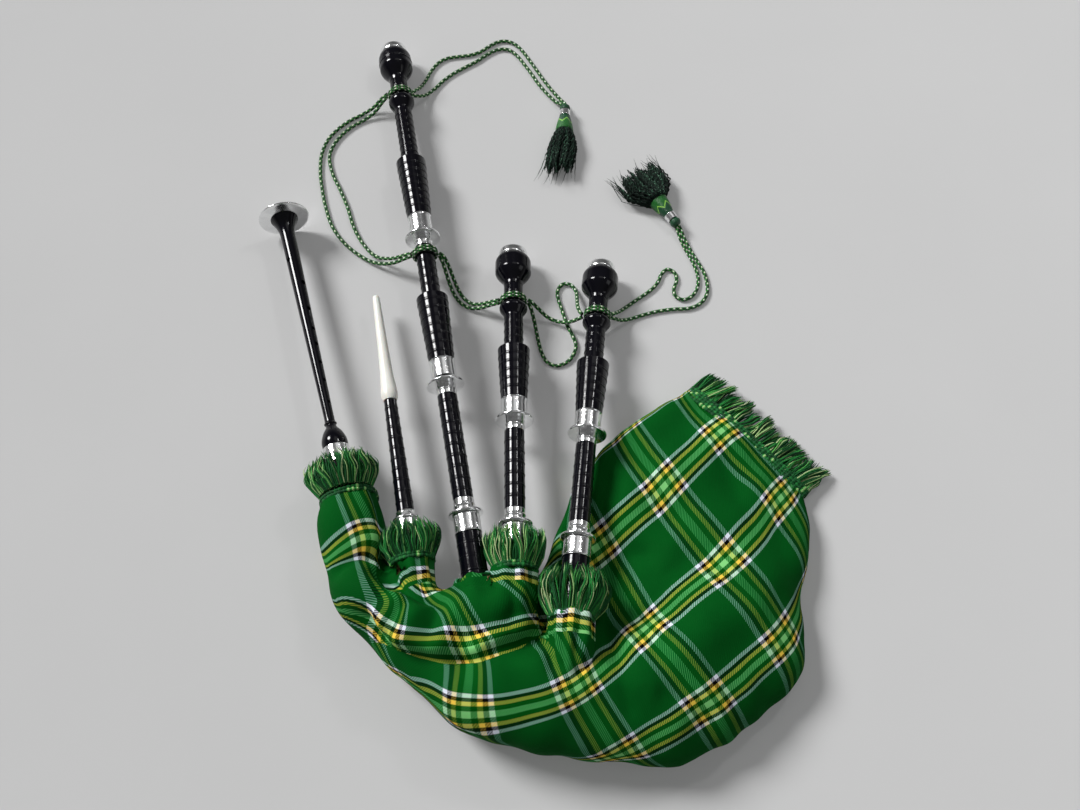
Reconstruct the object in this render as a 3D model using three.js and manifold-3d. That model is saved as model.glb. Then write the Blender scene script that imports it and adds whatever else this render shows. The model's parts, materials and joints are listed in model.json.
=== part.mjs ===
// Highland bagpipe laid flat: bag and cloth cover, five stocks, chanter, blowpipe, bass drone,
// two tenor drones, and the cord with its tassels. Millimetres, +Z up.
// The origin is the middle of the flat patch on which the bag rests. The drones point along +Y.

import * as THREE from 'three';
import Module from 'manifold-3d';
import { mergeVertices } from 'three/addons/utils/BufferGeometryUtils.js';

const wasm = await Module();
wasm.setup();

// Facets of turned pieces
const pipeSides = 10;
const cordSides = 8;
const holeSides = 6;

// Clearances
const seatGap = 0.3;
const runGap = 0.6;
const loopGap = 0.9;
const cutOverrun = 4;

// Bag and cover
const bagLength = 585;
const bagWidth = 470;
const bagHeight = 100;
const coverWall = 2;
const coverGap = 0.5;
const bagWall = 3;
const sectionStations = 8;
const liningStations = 4;

// Stocks
const stockLength = 112;
const stockRadius = 14.7;
const stockRimRadius = 16.5;
const stockRimLength = 6;
const tieGrooveRadius = 13.4;
const tieGrooveLength = 9;
const ferruleLength = 21.5;
const ferruleRadius = 15.2;
const ferruleWall = 1.2;
const ferruleLip = 3.2;
const beadHeight = 0.8;
const beadLength = 1.8;
const sleeveRadius = 24;
const sleeveTaper = 50;

// Tuning pins and tenons
const pinRadius = 8.2;
const pinLength = 44;
const tenonLength = 34;
const droneBore = 3.9;
const reedSeatDepth = 14;

// Drone joints
const tubeRadius = 11.6;
const spigotRadius = 9.7;
const chamberFootRadius = 15.5;
const chamberTopRadius = 19.5;
const shoulderLength = 5;
const guideRadius = 17.4;
const neckRadius = 11.8;
const bellRadius = 22.8;
const bellMouthRadius = 16.4;
const bellBore = 10;
const capRadius = 18.7;
const capLength = 11;
const capBore = 8.2;
const socketDepth = 52;

// Silver mounts
const flangeRadius = 22.9;
const flangeThickness = 3.6;
const hubRadius = 12.5;
const hubLength = 13;
const lowerFlangeRadius = 19.9;
const lowerMountLength = 19;

// Bass drone
const bassBottomLength = 168;
const bassPinShown = 6;
const bassMiddle = { ferrule: 24, chamber: 95, slim: 76 };
const bassTop = { ferrule: 24, chamber: 97, slim: 87, guide: 24, neck: 28, bell: 52 };
const bassReedLength = 60;

// Tenor drones
const tenorBottomLength = 134;
const tenorPinShown = 2.4;
const tenorTop = { ferrule: 22, chamber: 75, slim: 45, guide: 18, neck: 27, bell: 44 };
const tenorReedLength = 48;
const reedRadius = 4.1;
const reedSpigotRadius = 3;

// Chanter
const chanterLength = 338;
const bulbRadius = 15.4;
const bulbLength = 26;
const chanterTopRadius = 5.8;
const chanterFootRadius = 9.4;
const chanterFlareRadius = 17.6;
const chanterFlareMiddleRadius = 11.8;
const chanterFlareLength = 22;
const chanterTopBore = 2.6;
const chanterFootBore = 7.2;
const soleRadius = 32;
const soleThickness = 4;
const soleHubRadius = 12;
const fingerHoleRadii = [1.9, 2.1, 2.2, 2.4, 2.6, 2.8, 3];
const fingerHoleShares = [0.175, 0.263, 0.337, 0.413, 0.478, 0.565, 0.68];
const soundHoleShare = 0.79;
const soundHoleRadius = 3;
const thumbHoleShare = 0.14;
const thumbHoleRadius = 1.9;
const fingerTurn = 0.9;
const reedStapleRadius = 2.1;
const reedBindingRadii = [3.2, 3.8];
const reedBladeWidth = 11;
const reedBladeThickness = 3;
const reedBladeLength = 22;

// Blowpipe
const blowpipeLength = 155;
const blowpipeFootRadius = 9.9;
const blowpipeTipRadius = 7.4;
const blowpipeBore = 4.6;
const domeRadius = 15.7;
const domeLength = 12;
const mouthpieceLength = 151;
const mouthpieceRadius = 10.4;
const mouthpieceTipRadius = 4.5;
const mouthpieceTipRimRadius = 3.6;
const mouthpieceSwellShares = [[0.05, 1], [0.125, 0.9], [0.25, 0.74], [0.5, 0.62]];
const mouthpieceBore = 2.6;
const mouthpieceSpigotRadius = 6;
const mouthpieceSpigotLength = 16;
const mouthpieceTipHeight = 28;
const flapThickness = 1.5;
const flapRadius = 6.4;

// Cord and tassels
const cordRadius = 2.4;
const longStep = 30;
const shortStep = 15;
const wrapThickness = 4.3;
const wrapLength = 9.4;
const tasselHeadLength = 20;
const tasselHeadRadius = 9;
const tasselWaistRadius = 7.2;
const tasselCollarRadius = 6;
const tasselCollarLength = 6.5;
const tasselKnobRadius = 5;
const tasselGap = 1.4;
const skirtLength = 50;
const skirtRadius = 17;
const skirtTipRadius = 13.6;

// Colours
const blackFinish = new THREE.MeshStandardMaterial({ color: 0x0d0d14, roughness: 0.18 });
const silver = new THREE.MeshStandardMaterial({ color: 0xd8dadb, roughness: 0.16, metalness: 1 });
const ivory = new THREE.MeshStandardMaterial({ color: 0xf3f1e8, roughness: 0.35 });
const tartan = new THREE.MeshStandardMaterial({ color: 0x0a6a2c, roughness: 0.9 });
const fringeYarn = new THREE.MeshStandardMaterial({ color: 0x1c6b2b, roughness: 0.95 });
const leather = new THREE.MeshStandardMaterial({ color: 0x8a6a48, roughness: 0.8 });
const cane = new THREE.MeshStandardMaterial({ color: 0xcfae6c, roughness: 0.6 });
const cordGreen = new THREE.MeshStandardMaterial({ color: 0x1d7a2c, roughness: 0.9 });

const bagpipe = new THREE.Group();

// Welds a geometry by position and drops the empty triangles at poles and seams
function weld(geometry) {
  geometry.deleteAttribute('normal');
  geometry.deleteAttribute('uv');
  const merged = mergeVertices(geometry, 1e-4);
  const old = merged.index.array;
  const kept = [];
  for (let i = 0; i < old.length; i += 3) {
    const [a, b, c] = [old[i], old[i + 1], old[i + 2]];
    if (a !== b && b !== c && c !== a) kept.push(a, b, c);
  }
  merged.setIndex(kept);
  return merged;
}

function toSolid(geometry) {
  const welded = weld(geometry.clone());
  return new wasm.Manifold(new wasm.Mesh({
    numProp: 3,
    vertProperties: new Float32Array(welded.attributes.position.array),
    triVerts: new Uint32Array(welded.index.array),
  }));
}

function toGeometry(solid) {
  const mesh = solid.getMesh();
  const geometry = new THREE.BufferGeometry();
  geometry.setAttribute('position', new THREE.BufferAttribute(mesh.vertProperties, 3));
  geometry.setIndex(new THREE.BufferAttribute(mesh.triVerts, 1));
  return geometry;
}

// A turned piece on the Z axis. Outline points are [height, radius], from the bottom up.
// With a bore it is a closed ring, and without one it closes on the axis.
function turned(outline, bore = null, sides = pipeSides) {
  const loop = bore
    ? [...outline, ...[...bore].reverse(), outline[0]]
    : [[outline[0][0], 0], ...outline, [outline.at(-1)[0], 0]];
  const points = loop.map(([height, radius]) => new THREE.Vector2(radius, height));
  const geometry = new THREE.LatheGeometry(points, sides);
  geometry.rotateX(Math.PI / 2);
  return weld(geometry);
}

// A rounded ring standing proud of a turned surface
function bead(height, radius, length = beadLength, proud = beadHeight) {
  return [
    [height, radius],
    [height + length / 2, radius + proud],
    [height + length, radius],
  ];
}

function addMesh(parent, name, geometry, material) {
  const mesh = new THREE.Mesh(geometry, material);
  mesh.name = name;
  parent.add(mesh);
  return mesh;
}

// Cuts or joins a list of solids with the first one
function cut(first, ...others) {
  return others.reduce((body, other) => body.subtract(other), first);
}

function join(first, ...others) {
  return others.reduce((body, other) => body.add(other), first);
}

// The five pipes: where the mouth of the stock lies, as shares of the bag's length, width and
// height, and the heading in degrees from +X towards +Y.
const pipes = {
  chanter: {
    mouthShares: [-0.607, 0.334, 0.42], heading: 106.5,
    reach: chanterLength, restHeight: soleRadius + seatGap,
  },
  blowpipe: {
    mouthShares: [-0.457, 0.14, 0.5], heading: 100.9,
    reach: blowpipeLength + mouthpieceLength, restHeight: mouthpieceTipHeight,
  },
  bass: { mouthShares: [-0.346, 0.155, 0.5], heading: 100.2, restHeight: bellRadius + seatGap },
  tenor_1: { mouthShares: [-0.252, 0.126, 0.56], heading: 91.1, restHeight: bellRadius + seatGap },
  tenor_2: { mouthShares: [-0.135, 0.086, 0.66], heading: 84.3, restHeight: bellRadius + seatGap },
};

const bassMiddleFoot = bassBottomLength + bassPinShown;
const bassMiddleLength = bassMiddle.ferrule + bassMiddle.chamber + bassMiddle.slim + hubLength;
const bassTopFoot = bassMiddleFoot + bassMiddleLength + bassPinShown;
const tenorTopFoot = tenorBottomLength + tenorPinShown;
pipes.bass.reach = bassTopFoot + bellWidest(bassTop);
pipes.tenor_1.reach = tenorTopFoot + bellWidest(tenorTop);
pipes.tenor_2.reach = pipes.tenor_1.reach;

function bellWidest(joint) {
  return joint.ferrule + joint.chamber + joint.slim + joint.guide + joint.neck + joint.bell * 3 / 4;
}

// A group whose +Z runs along the pipe, from the mouth of its stock outwards. The slope is the
// one at which the far end comes down to its resting height.
function pipeGroup({ mouthShares, heading, reach, restHeight }) {
  const mouth = new THREE.Vector3(
    mouthShares[0] * bagLength,
    mouthShares[1] * bagWidth,
    mouthShares[2] * bagHeight,
  );
  const fall = Math.asin((mouth.z - restHeight) / reach);
  const turn = THREE.MathUtils.degToRad(heading);
  const along = new THREE.Vector3(
    Math.cos(turn) * Math.cos(fall),
    Math.sin(turn) * Math.cos(fall),
    -Math.sin(fall),
  );
  return placedGroup(mouth, along);
}

// A group at a place, with its +Z along a direction and its +Y as near to upright as that allows
function placedGroup(place, along) {
  const side = new THREE.Vector3(0, 0, 1).cross(along).normalize();
  const upright = along.clone().cross(side);
  const group = new THREE.Group();
  group.quaternion.setFromRotationMatrix(new THREE.Matrix4().makeBasis(side, upright, along));
  group.position.copy(place);
  group.updateMatrixWorld();
  bagpipe.add(group);
  return group;
}

const groups = {};
for (const name in pipes) groups[name] = pipeGroup(pipes[name]);

// Bag: the plan of each cross-section, from the neck to the tail. Its outer and inner edge points
// are shares of the length and width, then come the height, and how far and from where the top
// drops to the low shelf under the tenor drones.
const sectionShares = [
  [-0.629, 0.193, -0.527, 0.231, 0.68, 1, 0.5],
  [-0.627, 0.087, -0.504, 0.11, 0.74, 1, 0.5],
  [-0.6, -0.014, -0.468, 0.004, 0.82, 1, 0.5],
  [-0.558, -0.084, -0.38, -0.02, 0.86, 1, 0.5],
  [-0.514, -0.152, -0.333, -0.025, 0.92, 1, 0.5],
  [-0.459, -0.219, -0.28, -0.025, 0.96, 1, 0.5],
  [-0.366, -0.306, -0.224, 0.005, 1, 0.96, 0.5],
  [-0.241, -0.361, -0.19, 0.05, 1, 0.62, 0.5],
  [-0.1, -0.392, -0.132, 0.273, 0.98, 0.41, 0.35],
  [0.041, -0.402, -0.028, 0.406, 0.86, 0.47, 0.36],
  [0.166, -0.317, 0.039, 0.466, 0.7, 0.62, 0.4],
  [0.258, -0.219, 0.074, 0.494, 0.56, 0.75, 0.4],
  [0.294, -0.033, 0.09, 0.51, 0.44, 0.85, 0.4],
  [0.323, 0.233, 0.106, 0.523, 0.28, 1, 0.5],
];
const edgeShare = 0.4;
const domePower = 2.3;
const shelfSpanShare = 0.3;
const undersideShare = 1.4;

// One cross-section as a closed loop of points, drawn in by inset
function sectionLoop(shares, inset, stations) {
  const outer = new THREE.Vector2(shares[0] * bagLength, shares[1] * bagWidth);
  const inner = new THREE.Vector2(shares[2] * bagLength, shares[3] * bagWidth);
  const across = inner.clone().sub(outer).normalize().multiplyScalar(inset);
  outer.add(across);
  inner.sub(across);
  const height = shares[4] * bagHeight;
  const top = [];
  const under = [];
  for (let i = 0; i <= stations; i++) {
    const u = (1 - Math.cos(Math.PI * i / stations)) / 2;
    const dome = (1 - Math.abs(2 * u - 1) ** domePower) ** (1 / domePower);
    const shelf = 1 - (1 - shares[5]) * THREE.MathUtils.smoothstep(
      u, shares[6] - shelfSpanShare / 2, shares[6] + shelfSpanShare / 2);
    const edge = edgeShare * height * shelf;
    const plan = outer.clone().lerp(inner, u);
    const upper = Math.max(edge, edge + (height * shelf - edge) * dome - inset);
    const lower = Math.min(edge, Math.max(edge * (1 - undersideShare * dome), 0) + inset);
    top.push(new THREE.Vector3(plan.x, plan.y, upper));
    under.push(new THREE.Vector3(plan.x, plan.y, lower));
  }
  return [...top, ...under.slice(1, -1).reverse()];
}

// Moves the end loop along the line of the bag, by a distance that is positive outwards
function moveEnd(end, next, distance) {
  const middle = (loop) => loop.reduce((sum, p) => sum.add(p), new THREE.Vector3())
    .divideScalar(loop.length).setZ(0);
  const outwards = middle(end).sub(middle(next)).normalize().multiplyScalar(distance);
  for (const point of end) point.add(outwards);
}

// The bag's body drawn in by inset. The neck and tail ends move outwards by their own amounts.
function bagBody(inset, neckMove, tailMove, stations = sectionStations) {
  const loops = sectionShares.map((shares) => sectionLoop(shares, inset, stations));
  moveEnd(loops[0], loops[1], neckMove);
  moveEnd(loops.at(-1), loops.at(-2), tailMove);
  const count = loops[0].length;
  const positions = loops.flat().flatMap((p) => [p.x, p.y, p.z]);
  const faces = [];
  for (let s = 0; s + 1 < loops.length; s++) {
    for (let i = 0; i < count; i++) {
      const j = (i + 1) % count;
      const [a, b, c, d] = [s * count + i, s * count + j, (s + 1) * count + j, (s + 1) * count + i];
      faces.push(a, c, b, a, d, c);
    }
  }
  for (const [start, flip] of [[0, true], [(loops.length - 1) * count, false]]) {
    for (let i = 1; i + 1 < count; i++) {
      if (flip) faces.push(start, start + i, start + i + 1);
      else faces.push(start, start + i + 1, start + i);
    }
  }
  const geometry = new THREE.BufferGeometry();
  geometry.setAttribute('position', new THREE.Float32BufferAttribute(positions, 3));
  geometry.setIndex(faces);
  return toSolid(geometry);
}

// A cylinder along a pipe, between two places on its axis
function alongPipe(name, from, to, radius) {
  const geometry = turned([[from, radius], [to, radius]]);
  geometry.applyMatrix4(groups[name].matrixWorld);
  return toSolid(geometry);
}

// A sleeve round a whole stock, drawn in by inset, that tapers into the bag behind the stock
function sleeveSolid(name, end, inset) {
  const radius = sleeveRadius - inset;
  const outline = [
    [inset - stockLength - sleeveTaper, radius / 4],
    [inset - stockLength - sleeveTaper / 2, radius * 3 / 4],
    [inset - stockLength, radius],
    [end, radius],
  ];
  const geometry = turned(outline);
  geometry.applyMatrix4(groups[name].matrixWorld);
  return toSolid(geometry);
}

// How far below the mouth of its stock each sleeve of the cover ends
const sleeveEnds = { blowpipe: -44, bass: -77, tenor_1: -48, tenor_2: -86 };

function makeCover() {
  const sleeves = Object.entries(sleeveEnds);
  const outside = join(
    bagBody(0, 0, 0),
    ...sleeves.map(([name, end]) => sleeveSolid(name, end, 0)),
  );
  const inside = join(
    bagBody(coverWall, cutOverrun, -coverWall),
    ...sleeves.map(([name, end]) => sleeveSolid(name, end + cutOverrun, coverWall)),
  );
  addMesh(bagpipe, 'bag_cover', toGeometry(cut(outside, inside)), tartan);
}

function makeBag() {
  const skin = coverWall + coverGap;
  const lining = skin + bagWall;
  const rimTop = -stockLength + stockRimLength + beadLength;
  const sleeves = Object.entries(sleeveEnds);
  const outside = join(
    bagBody(skin, -skin, -skin),
    ...sleeves.map(([name, end]) => sleeveSolid(name, end - coverWall, skin)),
  );
  const inside = bagBody(lining, -lining, -lining, liningStations);
  const holes = Object.keys(pipes).flatMap((name) => [
    alongPipe(name, -stockLength, 0, stockRadius + seatGap),
    alongPipe(name, -stockLength - cutOverrun, rimTop + seatGap, stockRimRadius + seatGap),
  ]);
  addMesh(bagpipe, 'bag', toGeometry(cut(outside, inside, ...holes)), leather);
}

// Stock: a bored tube with a rim and a tie groove at the bag end, and a ferrule at the mouth
function makeStock(name) {
  const boreRadius = pinRadius + runGap;
  const grooveFoot = -stockLength + stockRimLength;
  const seatRadius = ferruleRadius - ferruleWall - seatGap;
  const outline = [
    [-stockLength, stockRimRadius],
    [grooveFoot, stockRimRadius],
    [grooveFoot + beadLength, tieGrooveRadius],
    [grooveFoot + tieGrooveLength, tieGrooveRadius],
    [grooveFoot + tieGrooveLength + beadLength, stockRadius],
    [-ferruleLength - seatGap, stockRadius],
    [-ferruleLength - seatGap, seatRadius],
    [-ferruleWall - seatGap, seatRadius],
  ];
  const bore = [[-stockLength, boreRadius], [-ferruleWall - seatGap, boreRadius]];
  addMesh(groups[name], `${name}_stock`, turned(outline, bore), blackFinish);
  const shell = [
    [-ferruleLength, ferruleRadius + beadHeight],
    [-ferruleLength + beadLength, ferruleRadius],
    [0, ferruleRadius],
  ];
  const lining = [
    [-ferruleLength, ferruleRadius - ferruleWall],
    [-ferruleWall, ferruleRadius - ferruleWall],
    [-ferruleWall, ferruleRadius - ferruleWall - ferruleLip],
    [0, ferruleRadius - ferruleWall - ferruleLip],
  ];
  addMesh(groups[name], `${name}_stock_ferrule`, turned(shell, lining), silver);
}

// Fringes of yarn that stand round the stocks and rest on the cover: how long each is as a share
// of its stock, and how wide it spreads as a share of the bag, which sets the stocks apart
const neckFringeFoot = -55;
const neckFringeFootRadius = 30;
const fringes = {
  chanter: {
    name: 'neck_fringe', foot: neckFringeFoot, footRadius: neckFringeFootRadius,
    lengthShare: 0.34, spreadShare: 0.065,
  },
  blowpipe: fringeOnSleeve('blowpipe', 0.32, 0.053),
  tenor_1: fringeOnSleeve('tenor_1', 0.357, 0.0547),
  tenor_2: fringeOnSleeve('tenor_2', 0.41, 0.06),
};

function fringeOnSleeve(pipe, lengthShare, spreadShare) {
  return {
    name: `${pipe}_fringe`, foot: sleeveEnds[pipe], footRadius: sleeveRadius,
    lengthShare, spreadShare,
  };
}

const fringeTipShare = 0.86;
const fringeInnerRadius = 16.4;

function makeFringe(pipe, { name, foot, footRadius, lengthShare, spreadShare }) {
  const start = foot + seatGap;
  const length = lengthShare * stockLength;
  const spread = spreadShare * bagLength;
  const outline = [
    [start, footRadius],
    [start + length / 4, (footRadius + spread) / 2],
    [start + length * 2 / 3, spread],
    [start + length, spread * fringeTipShare],
  ];
  const bore = [
    [start, stockRadius + seatGap],
    [start + length / 2, fringeInnerRadius],
    [start + length, (fringeInnerRadius + spread) / 2],
  ];
  const ring = turned(outline, bore);
  ring.applyMatrix4(groups[pipe].matrixWorld);
  const grown = bagBody(-2 * seatGap, 0, 0);
  addMesh(bagpipe, name, toGeometry(cut(toSolid(ring), grown)), fringeYarn);
}

// Tail fringe: a scalloped strip of yarn along the closed end of the bag
const tailFringeLength = 42;
const tailFringeThickness = 9;
const tailFringeLift = 7;
const tailScallops = 5;
const tailScallopShare = 0.14;

function makeTailFringe() {
  const tail = sectionShares.at(-1);
  const outer = new THREE.Vector2(tail[0] * bagLength, tail[1] * bagWidth);
  const inner = new THREE.Vector2(tail[2] * bagLength, tail[3] * bagWidth);
  const along = inner.clone().sub(outer);
  const width = along.length();
  along.normalize();
  const away = new THREE.Vector2(along.y, -along.x);
  const place = (across, out) => outer.clone().addScaledVector(along, across)
    .addScaledVector(away, out + seatGap);
  const outline = [place(0, 0), place(width, 0)];
  const steps = tailScallops * 4;
  for (let i = steps; i >= 0; i--) {
    const wave = 1 - tailScallopShare * Math.cos(2 * Math.PI * tailScallops * i / steps);
    outline.push(place(width * i / steps, tailFringeLength * wave));
  }
  const geometry = new THREE.ExtrudeGeometry(new THREE.Shape(outline), {
    depth: tailFringeThickness, bevelEnabled: false,
  });
  geometry.translate(0, 0, tailFringeLift);
  addMesh(bagpipe, 'tail_fringe', weld(geometry), fringeYarn);
}

// Silver projecting mount: a flange and a beaded hub round a spigot. A mount at the top of a
// joint has its flange above the hub, and one at the foot has it below.
function mountOutline(foot, length, radius, flangeOnTop) {
  const round = flangeThickness / 4;
  const flangeFoot = flangeOnTop ? foot + length - flangeThickness : foot;
  const flange = [
    [flangeFoot, radius - round],
    [flangeFoot + flangeThickness / 2, radius],
    [flangeFoot + flangeThickness, radius - round],
  ];
  const hubFoot = flangeOnTop ? foot : foot + flangeThickness;
  const hubTop = hubFoot + length - flangeThickness;
  const hub = [
    [hubFoot, hubRadius - beadHeight],
    ...bead((hubFoot + hubTop) / 2 - beadLength, hubRadius - beadHeight, beadLength * 2),
    [hubTop, hubRadius - beadHeight],
  ];
  return flangeOnTop ? [...hub, ...flange] : [...flange, ...hub];
}

function addMount(group, name, foot, length, radius, flangeOnTop) {
  const outline = mountOutline(foot, length, radius, flangeOnTop);
  const bore = [
    [foot, spigotRadius + seatGap],
    [foot + length, spigotRadius + seatGap],
  ];
  addMesh(group, name, turned(outline, bore), silver);
}

// Bottom joint of a drone, with its tenon, reed seat, two mount spigots and tuning pin
function makeBottomJoint(group, name, length) {
  const topMountFoot = length - hubLength - flangeThickness;
  const outline = [
    [-tenonLength, pinRadius],
    [seatGap, pinRadius],
    [seatGap, spigotRadius],
    [lowerMountLength + seatGap, spigotRadius],
    [lowerMountLength + 2 * seatGap, tubeRadius],
    [topMountFoot - seatGap, tubeRadius],
    [topMountFoot - seatGap, spigotRadius],
    [length - seatGap, spigotRadius],
    [length, pinRadius],
    [length + pinLength, pinRadius],
  ];
  const bore = [
    [-tenonLength, reedSpigotRadius + seatGap],
    [-tenonLength + reedSeatDepth, reedSpigotRadius + seatGap],
    [-tenonLength + reedSeatDepth, droneBore],
    [length + pinLength, droneBore],
  ];
  addMesh(group, `${name}_bottom_joint`, turned(outline, bore), blackFinish);
  addMount(group, `${name}_lower_mount`, seatGap, lowerMountLength, lowerFlangeRadius, false);
  addMount(group, `${name}_bottom_mount`, topMountFoot, hubLength + flangeThickness,
    flangeRadius, true);
}

// The socket end that the tuning pin of the joint below runs in, up to the top of the chamber
function chamberOutline({ ferrule, chamber }) {
  const seatRadius = ferruleRadius - ferruleWall - seatGap;
  return [
    [ferruleWall + seatGap, seatRadius],
    [ferrule + seatGap, seatRadius],
    [ferrule + seatGap, chamberFootRadius],
    [ferrule + chamber - shoulderLength, chamberTopRadius],
    [ferrule + chamber, tubeRadius],
  ];
}

function socketBore(top, topRadius) {
  return [
    [ferruleWall + seatGap, pinRadius + runGap],
    [socketDepth, pinRadius + runGap],
    [socketDepth + pinRadius, droneBore],
    [top, topRadius],
  ];
}

function addJointFerrule(group, name, length) {
  const shell = [
    [0, ferruleRadius],
    [length - beadLength, ferruleRadius],
    [length, ferruleRadius + beadHeight],
  ];
  const lining = [
    [0, ferruleRadius - ferruleWall - ferruleLip],
    [ferruleWall, ferruleRadius - ferruleWall - ferruleLip],
    [ferruleWall, ferruleRadius - ferruleWall],
    [length, ferruleRadius - ferruleWall],
  ];
  addMesh(group, name, turned(shell, lining), silver);
}

function makeMiddleJoint(group) {
  const slimTop = bassMiddleLength - hubLength - flangeThickness;
  const outline = [
    ...chamberOutline(bassMiddle),
    [slimTop - seatGap, tubeRadius],
    [slimTop - seatGap, spigotRadius],
    [bassMiddleLength - seatGap, spigotRadius],
    [bassMiddleLength, pinRadius],
    [bassMiddleLength + pinLength, pinRadius],
  ];
  const bore = socketBore(bassMiddleLength + pinLength, droneBore);
  addMesh(group, 'bass_middle_joint', turned(outline, bore), blackFinish);
  addJointFerrule(group, 'bass_middle_ferrule', bassMiddle.ferrule);
  addMount(group, 'bass_middle_mount', slimTop, hubLength + flangeThickness, flangeRadius, true);
}

// Top joint of a drone, up to the neck, then its bell and ring cap
function makeTopJoint(group, name, joint) {
  const slimTop = joint.ferrule + joint.chamber + joint.slim;
  const guideTop = slimTop + joint.guide;
  const neckTop = guideTop + joint.neck;
  const bellTop = neckTop + joint.bell;
  const outline = [
    ...chamberOutline(joint),
    [slimTop, tubeRadius],
    [slimTop + joint.guide / 2, guideRadius],
    [guideTop - joint.guide / 4, guideRadius],
    [guideTop, neckRadius],
    [neckTop - seatGap, neckRadius],
  ];
  const bore = socketBore(neckTop - seatGap, droneBore);
  addMesh(group, `${name}_top_joint`, turned(outline, bore), blackFinish);
  addJointFerrule(group, `${name}_top_ferrule`, joint.ferrule);
  const bell = [
    [neckTop, neckRadius],
    [neckTop + joint.bell / 8, neckRadius + beadHeight],
    [neckTop + joint.bell / 3, (neckRadius + bellRadius * 3) / 4],
    [neckTop + joint.bell * 4 / 9, bellRadius],
    [neckTop + joint.bell * 5 / 6, bellRadius],
    [neckTop + joint.bell * 15 / 16, bellRadius - beadHeight * 2],
    [bellTop, bellMouthRadius + beadLength],
  ];
  const chamber = [
    [neckTop, droneBore],
    [neckTop + joint.bell / 4, droneBore],
    [neckTop + joint.bell / 2, bellBore],
    [bellTop, bellBore],
  ];
  addMesh(group, `${name}_bell`, turned(bell, chamber), blackFinish);
  const capFoot = bellTop + seatGap;
  const cap = [
    [capFoot, capRadius - beadHeight],
    [capFoot + beadLength, capRadius],
    [capFoot + capLength - beadLength, capRadius - beadHeight],
    [capFoot + capLength, bellMouthRadius],
  ];
  const mouth = [[capFoot, capBore], [capFoot + capLength, capBore]];
  addMesh(group, `${name}_ring_cap`, turned(cap, mouth), silver);
}

// Drone reed: a tube with its spigot in the tenon, a bridle ring, and a flat cut for the tongue
function makeDroneReed(group, name, length) {
  const foot = -tenonLength - length;
  const outline = [
    [foot, reedRadius - beadHeight],
    [foot + beadLength, reedRadius],
    [foot + length / 2, reedRadius],
    ...bead(foot + length / 2 + beadLength, reedRadius),
    [-tenonLength - seatGap, reedRadius],
    [-tenonLength - seatGap, reedSpigotRadius],
    [-tenonLength + reedSeatDepth - beadLength, reedSpigotRadius],
  ];
  const tongue = new THREE.BoxGeometry(reedRadius * 2, reedRadius, length / 2);
  tongue.translate(0, reedRadius * 5 / 4, foot + length / 4);
  const reed = cut(toSolid(turned(outline, null, cordSides)), toSolid(tongue));
  addMesh(group, `${name}_reed`, toGeometry(reed), cane);
}

// A flat loop of both strands of the cord round a neck
function wrapGeometry(middle, radius) {
  const inner = radius + loopGap;
  const outer = inner + wrapThickness;
  const half = wrapLength / 2;
  const round = wrapThickness / 4;
  const outline = [
    [middle - half + round, outer - round],
    [middle - half / 2, outer],
    [middle + half / 2, outer],
    [middle + half - round, outer - round],
  ];
  const bore = [[middle - half, inner], [middle + half, inner]];
  return turned(outline, bore);
}

function makeDrones() {
  makeBottomJoint(groups.bass, 'bass', bassBottomLength);
  makeDroneReed(groups.bass, 'bass', bassReedLength);
  const middle = new THREE.Group();
  middle.position.z = bassMiddleFoot;
  groups.bass.add(middle);
  makeMiddleJoint(middle);
  const top = new THREE.Group();
  top.position.z = bassTopFoot;
  groups.bass.add(top);
  makeTopJoint(top, 'bass', bassTop);
  const slimTop = bassMiddleLength - hubLength - flangeThickness;
  const middleWrap = wrapGeometry(slimTop - wrapLength, tubeRadius);
  addMesh(middle, 'cord_wrap_bass_middle', middleWrap, cordGreen);
  for (const name of ['tenor_1', 'tenor_2']) {
    makeBottomJoint(groups[name], name, tenorBottomLength);
    makeDroneReed(groups[name], name, tenorReedLength);
    const upper = new THREE.Group();
    upper.position.z = tenorTopFoot;
    groups[name].add(upper);
    makeTopJoint(upper, name, tenorTop);
  }
  const tenorWrap = wrapGeometry(tenorTopFoot + wrapPlace(tenorTop), neckRadius);
  addMesh(groups.tenor_1, 'cord_wrap_tenor_1', tenorWrap, cordGreen);
}

// The cord lies in the neck, just above the guide
function wrapPlace({ ferrule, chamber, slim, guide }) {
  return ferrule + chamber + slim + guide + wrapLength / 2 + runGap;
}

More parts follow.
